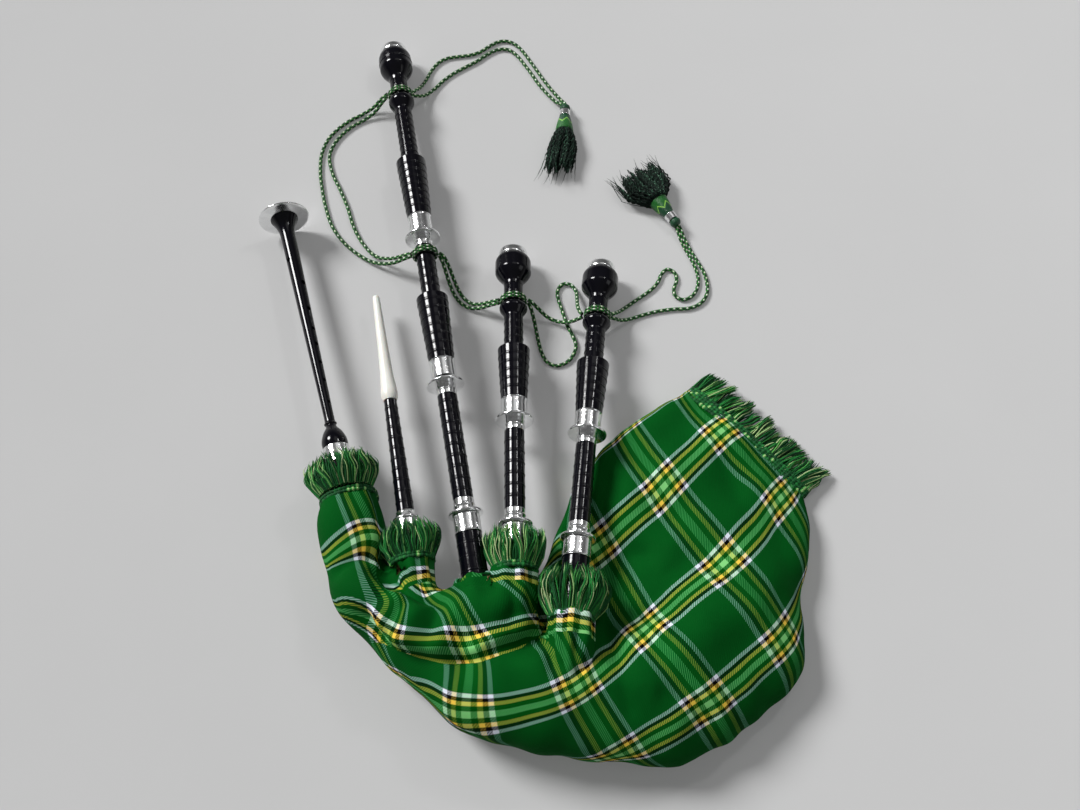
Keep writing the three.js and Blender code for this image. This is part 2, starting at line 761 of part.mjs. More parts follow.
function makeChanter() {
  const group = groups.chanter;
  const flareFoot = chanterLength - soleThickness - chanterFlareLength;
  const outline = [
    [-tenonLength, pinRadius],
    [seatGap, pinRadius],
    [seatGap, bulbRadius - beadHeight],
    [bulbLength / 3, bulbRadius],
    [bulbLength * 3 / 4, bulbRadius * 3 / 4],
    [bulbLength, chanterTopRadius + beadHeight],
    ...bead(bulbLength + beadLength * 2, chanterTopRadius, beadLength * 2, beadLength),
    [flareFoot, chanterFootRadius],
    [flareFoot + chanterFlareLength / 2, chanterFlareMiddleRadius],
    [chanterLength - soleThickness, chanterFlareRadius],
    [chanterLength - soleThickness, soleHubRadius - seatGap],
    [chanterLength - soleThickness / 3, soleHubRadius - seatGap],
  ];
  const bore = [
    [-tenonLength, reedStapleRadius + seatGap],
    [-tenonLength + reedSeatDepth, reedStapleRadius + seatGap],
    [-tenonLength + reedSeatDepth, chanterTopBore],
    [chanterLength - soleThickness / 3, chanterFootBore],
  ];
  const drill = (share, radius, turn, through = false) => {
    const hole = new THREE.CylinderGeometry(radius, radius, chanterFlareRadius * 2, holeSides);
    if (!through) hole.translate(0, chanterFlareRadius, 0);
    hole.rotateZ(turn);
    hole.translate(0, 0, share * chanterLength);
    return toSolid(hole);
  };
  const holes = fingerHoleShares.map((share, i) => drill(share, fingerHoleRadii[i], fingerTurn));
  holes.push(drill(thumbHoleShare, thumbHoleRadius, fingerTurn + Math.PI));
  holes.push(drill(soundHoleShare, soundHoleRadius, fingerTurn + Math.PI / 2, true));
  const chanter = cut(toSolid(turned(outline, bore)), ...holes);
  addMesh(group, 'chanter', toGeometry(chanter), blackFinish);
  const soleFoot = chanterLength - soleThickness + seatGap;
  const dish = [
    [soleFoot, chanterFlareRadius],
    [soleFoot + soleThickness / 4, soleRadius - soleThickness / 2],
    [soleFoot + soleThickness / 2, soleRadius],
    [soleFoot + soleThickness * 3 / 4, soleRadius],
    [soleFoot + soleThickness, soleRadius - soleThickness / 2],
    [soleFoot + soleThickness, soleHubRadius * 4 / 3],
  ];
  const seat = [[soleFoot, soleHubRadius], [soleFoot + soleThickness, soleHubRadius]];
  addMesh(group, 'chanter_sole', turned(dish, seat), silver);
}

// Chanter reed: a staple in the reed seat, and two blades that fan out from its binding
function makeChanterReed() {
  const bindingFoot = -tenonLength - seatGap;
  const staple = turned([
    [bindingFoot - reedSeatDepth, reedBindingRadii[0]],
    [bindingFoot, reedBindingRadii[1]],
    [bindingFoot, reedStapleRadius],
    [bindingFoot + reedSeatDepth - beadLength, reedStapleRadius],
  ]);
  const fan = new THREE.Shape([
    new THREE.Vector2(-reedStapleRadius, 0),
    new THREE.Vector2(reedStapleRadius, 0),
    new THREE.Vector2(reedBladeWidth / 2, reedBladeLength),
    new THREE.Vector2(-reedBladeWidth / 2, reedBladeLength),
  ]);
  const blades = new THREE.ExtrudeGeometry(fan, { depth: reedBladeThickness, bevelEnabled: false });
  blades.translate(0, 0, -reedBladeThickness / 2);
  blades.rotateX(-Math.PI / 2);
  blades.translate(0, 0, bindingFoot - reedSeatDepth + beadLength);
  const reed = join(toSolid(staple), toSolid(blades));
  addMesh(groups.chanter, 'chanter_reed', toGeometry(reed), cane);
}

function makeBlowpipe() {
  const group = groups.blowpipe;
  const domeSeat = blowpipeFootRadius - beadHeight;
  const outline = [
    [-tenonLength, pinRadius],
    [seatGap, pinRadius],
    [seatGap, domeSeat],
    [domeLength, domeSeat],
    [domeLength + seatGap, blowpipeFootRadius],
    [blowpipeLength, blowpipeTipRadius],
    [blowpipeLength, mouthpieceSpigotRadius],
    [blowpipeLength + mouthpieceSpigotLength, mouthpieceSpigotRadius],
  ];
  const bore = [
    [-tenonLength, blowpipeBore],
    [blowpipeLength + mouthpieceSpigotLength, blowpipeBore],
  ];
  addMesh(group, 'blowpipe', turned(outline, bore), blackFinish);
  const dome = [
    [seatGap, domeRadius - beadHeight],
    [seatGap + beadLength / 2, domeRadius],
    [seatGap + beadLength * 3 / 2, domeRadius],
    [domeLength / 3, domeRadius - beadLength],
    [domeLength * 2 / 3, domeRadius * 3 / 4],
    ...bead(domeLength - beadLength, blowpipeFootRadius + beadHeight / 2),
  ];
  const seat = [[seatGap, domeSeat + seatGap], [domeLength, domeSeat + seatGap]];
  addMesh(group, 'blowpipe_mount', turned(dome, seat), silver);
}

function makeMouthpiece() {
  const foot = blowpipeLength + seatGap;
  const socketTop = foot + mouthpieceSpigotLength + seatGap;
  const tip = foot + mouthpieceLength;
  const outline = [
    [foot, blowpipeTipRadius + beadHeight],
    ...mouthpieceSwellShares.map(([at, wide]) => (
      [foot + mouthpieceLength * at, mouthpieceRadius * wide])),
    [tip - mouthpieceTipRadius / 2, mouthpieceTipRadius],
    [tip, mouthpieceTipRimRadius],
  ];
  const bore = [
    [foot, mouthpieceSpigotRadius + seatGap],
    [socketTop, mouthpieceSpigotRadius + seatGap],
    [socketTop, mouthpieceBore],
    [tip, mouthpieceBore],
  ];
  addMesh(groups.blowpipe, 'mouthpiece', turned(outline, bore), ivory);
}

// Valve flap: a leather disc under the foot of the blowpipe, hinged at its edge
function makeValveFlap() {
  const top = -tenonLength - seatGap;
  const flap = turned([[top - flapThickness, flapRadius], [top, flapRadius]]);
  addMesh(groups.blowpipe, 'valve_flap', flap, leather);
}

// A round tube along hand-picked points
function cordTube(points, step) {
  const curve = new THREE.CatmullRomCurve3(points.map((p) => new THREE.Vector3(...p)));
  const circle = new THREE.Shape();
  for (let i = 0; i < cordSides; i++) {
    const turn = 2 * Math.PI * (i + 0.5) / cordSides;
    const corner = [cordRadius * Math.cos(turn), cordRadius * Math.sin(turn)];
    if (i) circle.lineTo(...corner);
    else circle.moveTo(...corner);
  }
  circle.closePath();
  const steps = Math.round(curve.getLength() / step);
  return toSolid(new THREE.ExtrudeGeometry(circle, { extrudePath: curve, steps }));
}

// Both strands of one stretch of the cord, which touch at its ends, with the loop that they make
// round a neck where the stretch moves with it
function makeStretch(name, { step, strands }, pipe = null, loopMiddle = 0) {
  const parts = strands.map((points) => cordTube(points, step));
  if (pipe) {
    const loop = wrapGeometry(loopMiddle, neckRadius);
    loop.applyMatrix4(groups[pipe].matrixWorld);
    parts.push(toSolid(loop));
  }
  addMesh(bagpipe, name, toGeometry(join(...parts)), cordGreen);
}

// Routes of the two strands, from one loop of cord to the next
const tasselOneRoute = { step: longStep, strands: [
  [[-298.6, 692, 25], [-293, 701, 20], [-287, 716, 11], [-281, 735, 4.4], [-275, 752, 2.6],
    [-266, 766, 2.6], [-254, 774.5, 2.6], [-238, 778, 2.6], [-220, 781, 2.6], [-206, 787, 2.6],
    [-194, 797, 2.6], [-181, 805.5, 2.6], [-168, 807, 2.6], [-156, 801, 2.6], [-145, 788, 2.6],
    [-135, 771, 2.6], [-126, 755, 2.6], [-112, 730, 2.6], [-101, 713, 2.6], [-90.6, 697, 4.6],
    [-83.2, 681.8, 9.3]],
  [[-298.6, 687.8, 25], [-291, 692, 19], [-281, 702, 9], [-269, 718, 3.6], [-257, 734, 2.6],
    [-243, 747, 2.6], [-226, 759, 2.6], [-210, 770, 2.6], [-196, 782, 2.6], [-181, 791, 2.6],
    [-166, 791, 2.6], [-154, 781, 2.6], [-144, 766, 2.6], [-135, 751, 2.6], [-121, 726, 2.6],
    [-109.5, 709.5, 2.6], [-97.6, 694, 4.6], [-86.8, 681.8, 9.3]],
] };
const bassRoute = { step: longStep, strands: [
  [[-331.2, 690, 25], [-340, 688, 18], [-353, 681, 7.6], [-368, 673, 3], [-384, 663, 2.6],
    [-400, 648, 2.6], [-413, 628, 2.6], [-419, 604, 2.6], [-418, 574, 2.6], [-413, 546, 2.6],
    [-406, 518, 2.6], [-395, 488, 2.6], [-379, 464, 2.6], [-357, 443.5, 2.6], [-334, 429, 6],
    [-310, 421.5, 17], [-290, 420.6, 30.5], [-282.7, 420.8, 35]],
  [[-331.2, 685.8, 25], [-339, 681, 18], [-351, 672, 7.6], [-365, 663, 3], [-380, 652.6, 2.6],
    [-393, 639, 2.6], [-403, 622, 2.6], [-408, 602, 2.6], [-402, 574, 2.6], [-389, 546, 2.6],
    [-377, 518, 2.6], [-366, 486, 2.6], [-352, 460, 2.6], [-333, 438.5, 6], [-311, 428.6, 17],
    [-290, 425.6, 30.5], [-282.7, 425, 35]],
] };
const middleRoute = { step: shortStep, strands: [
  [[-247.4, 424.8, 35.5], [-242, 422, 31], [-236, 414, 19], [-231, 404, 8], [-225, 391, 3],
    [-217, 378, 2.6], [-207, 369.5, 4], [-196, 366, 9], [-184, 363.5, 18], [-175, 362, 25],
    [-170.9, 361.5, 27.3]],
  [[-247.4, 420.6, 35.5], [-244, 416, 30], [-240, 407, 18], [-236, 397, 8], [-230, 384, 3],
    [-221, 371, 2.6], [-209, 363, 4], [-196, 360, 9], [-184, 358.8, 18], [-175, 357.6, 25],
    [-170.9, 357.3, 27.3]],
] };
const tenorRoute = { step: shortStep, strands: [
  [[-134.9, 361.5, 27.3], [-130.5, 359.5, 25], [-121, 354, 16], [-111, 348, 8], [-100, 343, 6],
    [-89, 339, 10], [-79, 336.6, 18], [-71, 336.1, 26], [-68, 336.1, 28.6]],
  [[-134.9, 357.3, 27.3], [-132, 353, 24], [-128, 343, 13], [-125, 331, 4.6], [-122, 316, 2.6],
    [-118, 300, 2.6], [-111, 287, 2.6], [-100, 282, 2.6], [-88, 286, 2.6], [-79, 296, 2.6],
    [-75, 310, 2.6], [-79, 324, 2.6], [-85, 337, 2.6], [-89, 350, 2.6], [-93, 364, 2.6],
    [-97, 378, 2.6], [-97, 390, 2.6], [-90, 399, 2.6], [-80, 397, 3.2], [-74, 386, 6],
    [-73, 372, 12], [-73, 358, 20], [-71, 346, 26.6], [-68, 340.3, 28.6]],
] };
const tasselTwoRoute = { step: longStep, strands: [
  [[-34.8, 340.3, 28.6], [-29, 343, 25], [-20, 353, 13], [-9, 365, 5], [4, 376, 2.8],
    [16, 385, 2.6], [26, 394, 2.6], [33, 404, 2.6], [37, 414, 2.6], [45, 421, 2.6],
    [54, 416, 2.6], [56, 404, 2.6], [52, 392, 2.6], [53, 382, 2.6], [62, 376, 2.6],
    [73, 380, 2.6], [81, 391, 2.6], [84, 406, 2.6], [82, 421, 2.6], [77, 436, 2.6],
    [70, 452, 2.6], [64, 467, 5], [59.4, 480.6, 9.3]],
  [[-34.8, 336.1, 28.6], [-28, 337, 24], [-18, 341, 12], [-6, 347, 4.4], [9, 353, 2.6],
    [30, 359, 2.6], [50, 362, 2.6], [70, 363.5, 2.6], [85, 371, 2.6], [93.5, 384, 2.6],
    [95, 400, 2.6], [92, 416, 2.6], [85.5, 431, 2.6], [77.5, 448, 2.6], [69.8, 465, 5],
    [62.9, 482.4, 9.3]],
] };

function makeCord() {
  makeStretch('cord_bass_top_to_tassel_1', tasselOneRoute, 'bass',
    bassTopFoot + wrapPlace(bassTop));
  makeStretch('cord_bass_top_to_bass_middle', bassRoute);
  makeStretch('cord_bass_middle_to_tenor_1', middleRoute);
  makeStretch('cord_tenor_1_to_tenor_2', tenorRoute);
  makeStretch('cord_tenor_2_to_tassel_2', tasselTwoRoute, 'tenor_2',
    tenorTopFoot + wrapPlace(tenorTop));
}

// Tassels: the route at whose end each one hangs, and its heading from there
const tasselPlaces = {
  tassel_1: { route: tasselOneRoute, heading: 268 },
  tassel_2: { route: tasselTwoRoute, heading: 122 },
};
const skirtPleats = 6;
const pleatShare = 0.14;
const skirtFlatShare = 0.52;

function makeTassel(name, { route, heading }) {
  const turn = THREE.MathUtils.degToRad(heading);
  const along = new THREE.Vector3(Math.cos(turn), Math.sin(turn), 0);
  const [one, two] = route.strands.map((points) => new THREE.Vector3(...points.at(-1)));
  const knob = one.lerp(two, 1 / 2).addScaledVector(along, tasselGap);
  const group = placedGroup(knob, along);
  const collarFoot = tasselKnobRadius * 2;
  const headFoot = collarFoot + tasselCollarLength;
  const skirtFoot = headFoot + tasselHeadLength;
  const outline = [
    [0, tasselKnobRadius / 2],
    [tasselKnobRadius, tasselKnobRadius],
    [collarFoot, tasselKnobRadius / 2],
    [collarFoot, tasselCollarRadius],
    [headFoot, tasselCollarRadius],
    [headFoot, tasselKnobRadius],
    [skirtFoot, tasselHeadRadius],
    [skirtFoot, tasselWaistRadius],
    [skirtFoot + skirtLength / 4, tasselHeadRadius],
    [skirtFoot + skirtLength * 3 / 4, skirtRadius],
    [skirtFoot + skirtLength, skirtTipRadius],
  ];
  const tassel = turned(outline, null, skirtPleats * 2);
  shapeSkirt(tassel, skirtFoot);
  addMesh(group, name, tassel, cordGreen);
}

// Draws every second column of the skirt in, and flattens it so that it lies on the table
function shapeSkirt(geometry, foot) {
  const places = geometry.attributes.position;
  for (let i = 0; i < places.count; i++) {
    const [x, y, z] = [places.getX(i), places.getY(i), places.getZ(i)];
    const share = Math.max(0, (z - foot) / skirtLength);
    const pleat = 1 - pleatShare * share * (1 + Math.cos(Math.atan2(y, x) * skirtPleats));
    const flat = 1 - (1 - skirtFlatShare) * Math.min(1, 2 * share);
    places.setXYZ(i, x * pleat, y * pleat * flat, z);
  }
}

makeCover();
makeBag();
for (const name in pipes) makeStock(name);
for (const pipe in fringes) makeFringe(pipe, fringes[pipe]);
makeTailFringe();
makeDrones();
makeChanter();
makeChanterReed();
makeBlowpipe();
makeMouthpiece();
makeValveFlap();
makeCord();
for (const name in tasselPlaces) makeTassel(name, tasselPlaces[name]);

export default bagpipe;
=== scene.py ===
"""A Highland bagpipe laid flat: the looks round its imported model. Metres, +Z up.

Turned pieces are read from the outlines of the model's own nodes and made round and detailed. The
cloth cover, the fringes, the cords and the tassels are built here.
"""

import json
import math

import bmesh
import bpy
import numpy as np
from mathutils import Matrix, Vector
from mathutils.bvhtree import BVHTree

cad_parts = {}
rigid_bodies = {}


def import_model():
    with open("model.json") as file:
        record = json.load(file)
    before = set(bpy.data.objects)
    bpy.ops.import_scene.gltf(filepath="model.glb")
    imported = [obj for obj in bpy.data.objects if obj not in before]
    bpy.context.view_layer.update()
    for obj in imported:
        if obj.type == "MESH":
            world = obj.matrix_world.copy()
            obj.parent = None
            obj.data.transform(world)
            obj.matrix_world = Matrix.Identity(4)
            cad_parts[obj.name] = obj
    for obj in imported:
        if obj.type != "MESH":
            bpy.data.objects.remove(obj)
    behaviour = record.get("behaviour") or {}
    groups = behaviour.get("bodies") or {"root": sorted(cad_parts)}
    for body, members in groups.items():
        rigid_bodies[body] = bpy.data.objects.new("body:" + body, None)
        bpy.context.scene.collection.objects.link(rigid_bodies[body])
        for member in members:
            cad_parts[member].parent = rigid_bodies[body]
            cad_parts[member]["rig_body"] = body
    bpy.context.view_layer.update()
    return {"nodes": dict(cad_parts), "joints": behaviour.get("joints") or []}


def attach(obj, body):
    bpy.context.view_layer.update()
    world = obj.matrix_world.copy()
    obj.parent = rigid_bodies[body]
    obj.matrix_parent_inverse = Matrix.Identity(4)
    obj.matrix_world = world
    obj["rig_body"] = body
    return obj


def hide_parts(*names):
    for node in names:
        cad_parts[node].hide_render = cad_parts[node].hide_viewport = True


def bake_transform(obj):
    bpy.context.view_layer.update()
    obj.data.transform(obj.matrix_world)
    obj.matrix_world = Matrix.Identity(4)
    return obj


MM = 0.001

# Camera and stage
CAMERA_TARGET = (-0.120, 0.230, 0.0)
CAMERA_DISTANCE = 1.220
CAMERA_ELEVATION = math.radians(66)
CAMERA_LENS = 33.33
CAMERA_SENSOR = 36.0
FLOOR_HALF = 6.0
FLOOR_GLOW = 0.10

# The key light: where it comes from, its strength and how wide it looks. It reaches the whole table
# evenly. Then the lamps: place, size, power and colour. All are aimed at the middle of the object.
KEY_PLACE = (-2.25, 1.5, 2.15)
KEY_STRENGTH = 3.6
KEY_ANGLE = math.radians(20)
LAMPS = {
    "fill": ((2.4, -0.6, 1.9), 1.2, 4.0, (0.96, 0.98, 1.0)),
    "ceiling": ((0.3, 1.1, 2.0), 1.0, 1.8, (1.0, 1.0, 1.0)),
    "strip_right": ((1.0, 1.05, 1.8), 0.2, 4.5, (1.0, 1.0, 1.0)),
}
WORLD_TONES = [(0.0, 0.42), (0.1, 0.34), (0.4, 0.08), (0.75, 0.14)]

# Turned pieces: what counts as on the axis, in a node and in an outline, how near points are merged,
# and how many degrees beside its meridian a point may lie. Corners of an outline are rounded from
# the least turn on, and widely below the soft turn.
TURNED_SIDES = 64
AXIS_REACH = 0.01 * MM
POLE_REACH = 0.001 * MM
MERGE_REACH = 0.0001 * MM
MERIDIAN_WIDTH = 0.25
LEAST_TURN = 0.02
SOFT_TURN = 0.95
SOFT_SHARE = 0.5
SOFT_CUT = 2.2 * MM
LONG_CUT = 9 * MM
LONG_CUT_NODES = ("chanter", "blowpipe", "mouthpiece")
SHARP_SHARE = 0.42
SHARP_CUT = 0.5 * MM
SUPPORT_GAP = 0.4 * MM
CORNER_STEPS = 5

# The double rings of the combing: along and across, as shares of their half width and height
RING_HALF_WIDTH = 1.7 * MM
RING_HEIGHT = 0.42 * MM
RING_SHARES = [(-1.4, 0), (-1.05, 0), (-0.8, -1.3), (-0.5, 0.8), (-0.2, 1), (0.2, 1), (0.5, 0.8),
               (0.8, -1.3), (1.05, 0), (1.4, 0)]
COMB_MARGIN = 7 * MM

# The combed runs of each kind of node: pitch, and the least radius and length of a run
COMBS = {
    "_stock": (15.5 * MM, 12 * MM, 30 * MM),
    "_bottom_joint": (14 * MM, 10.5 * MM, 40 * MM),
    "_middle_joint": (12 * MM, 10.5 * MM, 30 * MM),
    "_top_joint": (11.2 * MM, 10.5 * MM, 20 * MM),
    "blowpipe": (13.5 * MM, 7 * MM, 60 * MM),
    "_bell": (20 * MM, 20 * MM, 12 * MM),
}

# Cover: each cross-section of the bag, from the neck to the tail. Its outer and inner edge points
# are shares of the length and width, then come the height, and how far and from where the top
# drops to the low shelf under the tenor drones.
BAG_LENGTH = 585 * MM
BAG_WIDTH = 470 * MM
BAG_HEIGHT = 100 * MM
SECTION_SHARES = [
    (-0.629, 0.193, -0.527, 0.231, 0.68, 1, 0.5),
    (-0.627, 0.087, -0.504, 0.11, 0.74, 1, 0.5),
    (-0.6, -0.014, -0.468, 0.004, 0.82, 1, 0.5),
    (-0.558, -0.084, -0.38, -0.02, 0.86, 1, 0.5),
    (-0.514, -0.152, -0.333, -0.025, 0.92, 1, 0.5),
    (-0.459, -0.219, -0.28, -0.025, 0.96, 1, 0.5),
    (-0.366, -0.306, -0.224, 0.005, 1, 0.96, 0.5),
    (-0.241, -0.361, -0.19, 0.05, 1, 0.62, 0.5),
    (-0.1, -0.392, -0.132, 0.273, 0.98, 0.41, 0.35),
    (0.041, -0.402, -0.028, 0.406, 0.86, 0.47, 0.36),
    (0.166, -0.317, 0.039, 0.466, 0.7, 0.62, 0.4),
    (0.258, -0.219, 0.074, 0.494, 0.56, 0.75, 0.4),
    (0.294, -0.033, 0.09, 0.51, 0.44, 0.85, 0.4),
    (0.323, 0.233, 0.106, 0.523, 0.28, 1, 0.5),
]
EDGE_SHARE = 0.4
DOME_POWER = 2.3
SHELF_SPAN_SHARE = 0.3
UNDERSIDE_SHARE = 1.4
ROW_STEPS = 5
SECTION_STATIONS = 36
VOXEL = 3 * MM
STOCK_LENGTH = 112 * MM
SLEEVE_RADIUS = 24 * MM
SLEEVE_TAPER = 50 * MM
SLEEVE_SIDES = 48
SLEEVE_ENDS = {"blowpipe": -44 * MM, "bass": -77 * MM, "tenor_1": -48 * MM, "tenor_2": -86 * MM}
NECK_END = -58 * MM
MOUTHS = {**SLEEVE_ENDS, "chanter": NECK_END}
RELAX_SHARE = 0.5
RELAX_PASSES = 7

# Folds of the cover in plan, in millimetres: the line, its depth, how far it falls off to the left
# and to the right of the line as it goes, and how high the cloth swells on its left
FOLDS = [
    ([(-335, -31), (-307, -46), (-278, -78), (-251, -88), (-214, -94), (-182, -92), (-164, -84),
      (-137, -72), (-115, -56), (-101, -46)], 12, 8, 20, 5),
    ([(-312, 18), (-285, 6), (-262, -8), (-245, -20), (-227, -32), (-227, -49), (-232, -65),
      (-235, -88)], 11, 9, 14, 3),
    ([(-352, -4), (-343, 0), (-321, 15), (-301, 21), (-282, 30), (-268, 44)], 6, 9, 8, 2),
    ([(-108, -34), (-115, -37), (-153, -52), (-187, -70), (-201, -80), (-218, -96)], 8, 12, 13, 2),
    ([(-111, -58), (-108, -88), (-104, -112)], 4, 5, 6, 1.5),
    ([(-97, -58), (-95, -104)], 3.5, 5, 5, 1),
    ([(-84, -58), (-83, -94), (-80, -114)], 4, 5, 6, 1.5),
    ([(-268, -2), (-292, -31), (-308, -54)], 4, 9, 9, 1.5),
    ([(-257, -24), (-268, -49), (-278, -74)], 5, 8, 9, 2),
    ([(-56, -30), (-43, -79), (-35, -119), (-25, -160)], 4, 12, 10, 1.5),
    ([(-66, 8), (-30, 26), (12, 34)], 4, 12, 12, 1),
    ([(60, -150), (20, -128), (-10, -120)], 2.5, 14, 12, 1),
    ([(175, -30), (120, -10), (70, -6)], 2.5, 16, 14, 1),
]

# A fold's points along its line, its fading at the ends, its falling off beside the line, and its
# ridge: how far to the left and how wide, as times its reach on the left
FOLD_STEP = 4 * MM
FOLD_FADE_SHARE = 0.2
FOLD_POWER = 1.6
RIDGE_PLACE = 2.0
RIDGE_WIDTH = 1.1

# Soft swellings between the folds, in millimetres: middle in plan, radius and height
SWELLINGS = [((-180, -28), 36, 7), ((-160, -74), 22, 4), ((-306, -18), 28, 4), ((-256, -52), 20, 4),
             ((-130, -125), 60, 5), ((70, 30), 90, 5), ((60, -70), 70, 4)]

# Small waves all over the cloth: their lengths, and their heights at the middle length. Both are in
# millimetres, the least and how much more. Then the bend of their crests.
WAVE_COUNT = 26
WAVE_SEED = 11
WAVE_LENGTHS = (34, 90)
WAVE_HEIGHTS = (0.2, 0.4)
WAVE_MIDDLE = 60 * MM
WAVE_BEND = 12 * MM
BEND_RATE = 3.1
BEND_SPAN = 0.3

# Gathers at the sleeves: how many go round, how high, between which depths below the mouth they
# grow, and between which distances from the pipe's axis they fade
PLEATS = {"blowpipe": 9, "bass": 7, "tenor_1": 8, "tenor_2": 9}
PLEAT_HEIGHT = 1.5 * MM
PLEAT_SWAY = 2.2
PLEAT_START = 75 * MM
PLEAT_FULL = 12 * MM
PLEAT_NEAR = 26 * MM
PLEAT_FAR = 60 * MM

# The cloth lies still below the first height and takes its folds in full above the second. Folds
# show on cloth that faces up more than the first of these slopes, and in full from the second.
STILL_HEIGHT = 3 * MM
FREE_HEIGHT = 16 * MM
UPPER_FROM = -0.3
UPPER_FULL = 0.4

# Cloth and stocks, and the bag's own skin: how far below the cloth, how near it may come, and how
# far below the mouths it ends
STOCK_CLEAR = 17.4 * MM
SKIN_GAP = 4.4 * MM
SKIN_LEAST = 3.2 * MM
SKIN_REACH = 7 * MM
NECK_HALF_WIDTH = 34 * MM

# The holes cut at the mouths
HOLE_RADIUS = 18.5 * MM
HOLE_DEPTH = 16 * MM

# The check's grid: places of the cloth in plan, in millimetres, and its column and row there.
# The cloth above the long crease and the cloth below it have their own.
GRID_ABOVE = [
    ((-302.3, 43.4), (-3, -2)), ((-238.3, -6.4), (-2, -2)), ((-282.1, -69.9), (-3, -1)),
    ((-188.7, -82.5), (-2, -1)), ((-103.7, -54.2), (-1, -1)), ((-217.1, -30.0), (-2, -1.5)),
    ((-132.7, -63.1), (-1.4, -1)), ((-267.9, -29.8), (-3, -1.43)), ((-320.5, 86.2), (-3, -2.4)),
    ((-349.3, 20.1), (-3.45, -2)), ((-328.9, -33.0), (-3.35, -1)),
]
GRID_BELOW = [
    ((-192.8, -139.4), (-2, 0)), ((-82.6, -118.5), (-1, 0)), ((-10.8, -53.3), (0, 0)),
    ((78.7, 18.9), (1, 0)), ((159.9, 100.8), (2, 0)), ((-41.0, -181.8), (-1, 1)),
    ((49.7, -130.5), (0, 1)), ((139.8, -62.6), (1, 1)), ((18.5, 110.6), (1, -1)),
    ((94.6, 183.9), (2, -1)), ((-192.9, -96.3), (-2, -0.5)), ((-256.4, -122.2), (-2.6, -0.02)),
    ((-98.0, -82.9), (-1, -0.4)), ((-109.8, -61.0), (-1, -0.62)),
]

# The line between the two cloths, which goes on up past the second tenor's sleeve
PANEL_LINE = [(-420, -40), (-335, -50), (-294, -74), (-249, -92), (-214, -97), (-182, -95),
              (-164, -88), (-137, -76), (-115, -60), (-96, -42), (-96, 400)]

# The sleeves' own cloth: how much of each sleeve it covers, the turn at which a band of columns
# starts on its upper side, and how far below the mouth a band of rows starts
SLEEVE_MAPS = {
    "blowpipe": (34 * MM, math.radians(-12), 17 * MM),
    "bass": (4 * MM, math.radians(60), 12 * MM),
    "tenor_1": (22 * MM, math.radians(0), 9 * MM),
    "tenor_2": (24 * MM, math.radians(35), 2 * MM),
}

# The cloth hangs straight down from this height. The plate's unit is in millimetres, and its slack
# lets it pass a little beside the places.
CLOTH_LEVEL = 60 * MM
PLATE_UNIT = 100.0
PLATE_SLACK = 0.004

# The room in which a sleeve's own cloth is used: beyond its radius, past its mouth, and the reach
# of the faces that are asked
MAP_SLACK = 7 * MM
MAP_PAST = 9 * MM
MAP_SPAN = 60 * MM
MAP_RADIUS = 38 * MM

# Check: widths along one period, in millimetres, and the colour of each stripe
COLUMN_STRIPES = [(5.6, "white"), (5.2, "black"), (5.4, "yellow"), (6.6, "green"), (9.1, "light"),
                  (6.6, "green"), (5.4, "yellow"), (5.2, "black"), (5.6, "white"), (60.3, "ground")]
ROW_STRIPES = [(4.4, "white"), (4.4, "black"), (4.5, "yellow"), (5.8, "green"), (7.2, "light"),
               (5.8, "green"), (4.5, "yellow"), (4.4, "black"), (4.4, "white"), (74.6, "ground")]
COLUMN_PERIOD = sum(width for width, _ in COLUMN_STRIPES) * MM
ROW_PERIOD = sum(width for width, _ in ROW_STRIPES) * MM
COLUMN_HALF_BAND = sum(width for width, _ in COLUMN_STRIPES[:-1]) * MM / COLUMN_PERIOD / 2
ROW_HALF_BAND = sum(width for width, _ in ROW_STRIPES[:-1]) * MM / ROW_PERIOD / 2
TWILL_PITCH = 3.0 * MM
THREADS = {
    "ground": (0.0, 0.312, 0.11), "green": (0.02, 0.30, 0.07), "white": (0.88, 0.90, 0.95),
    "black": (0.01, 0.005, 0.015), "yellow": (0.95, 0.80, 0.31), "light": (0.50, 0.80, 0.48),
}

# Cord
CORD_RADIUS = 2.4 * MM
CORD_SIDES = 12
CORD_STEP = 1.6 * MM
BRAID_LAY = 4.2 * MM
BRAID_COUNT = 4

# Yarn
YARN_RADIUS = 0.55 * MM
YARN_SIDES = 4

# How steep a tube's path may start before its sides are set out another way, the number that keeps
# a division off zero, the least difference between two distances, and the parts of a curve between
# two of its points
STEEP = 0.9
TINY = 1e-12
TIE = 1e-9
CURVE_PARTS = 24

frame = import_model()
nodes = frame["nodes"]
joints = {joint["name"]: joint for joint in frame["joints"]}


# Frames and small helpers

def placed(origin, along):
    """A frame with its origin at a place, Z along a direction and Y upright."""
    along = Vector(along).normalized()
    side = Vector((0, 0, 1)).cross(along).normalized()
    turn = Matrix((side, along.cross(side), along)).transposed()
    return Matrix.Translation(origin) @ turn.to_4x4()


# The joint that each pipe turns by, and each pipe's frame: origin at the mouth of its stock, Z along
# the pipe
PIPE_JOINTS = {
    "chanter": "chanter_turn", "blowpipe": "blowpipe_turn", "bass": "bass_drone_turn",
    "tenor_1": "tenor_1_drone_turn", "tenor_2": "tenor_2_drone_turn",
}
PIPES = {pipe: placed(joints[turn]["pos_m"], joints[turn]["axis"]) for pipe, turn in PIPE_JOINTS.items()}


def pipe_of(name):
    """The pipe that a node belongs to, by its name."""
    if name.startswith(("mouthpiece", "valve_flap")):
        return "blowpipe"
    return next(pipe for pipe in PIPES if name.startswith(pipe))


def to_world(place, points):
    """Takes points from a place's own frame to the world's."""
    matrix = np.array(place)
    return np.asarray(points) @ matrix[:3, :3].T + matrix[:3, 3]


def to_local(place, points):
    """Takes points from the world's frame to a place's own."""
    return to_world(place.inverted(), points)


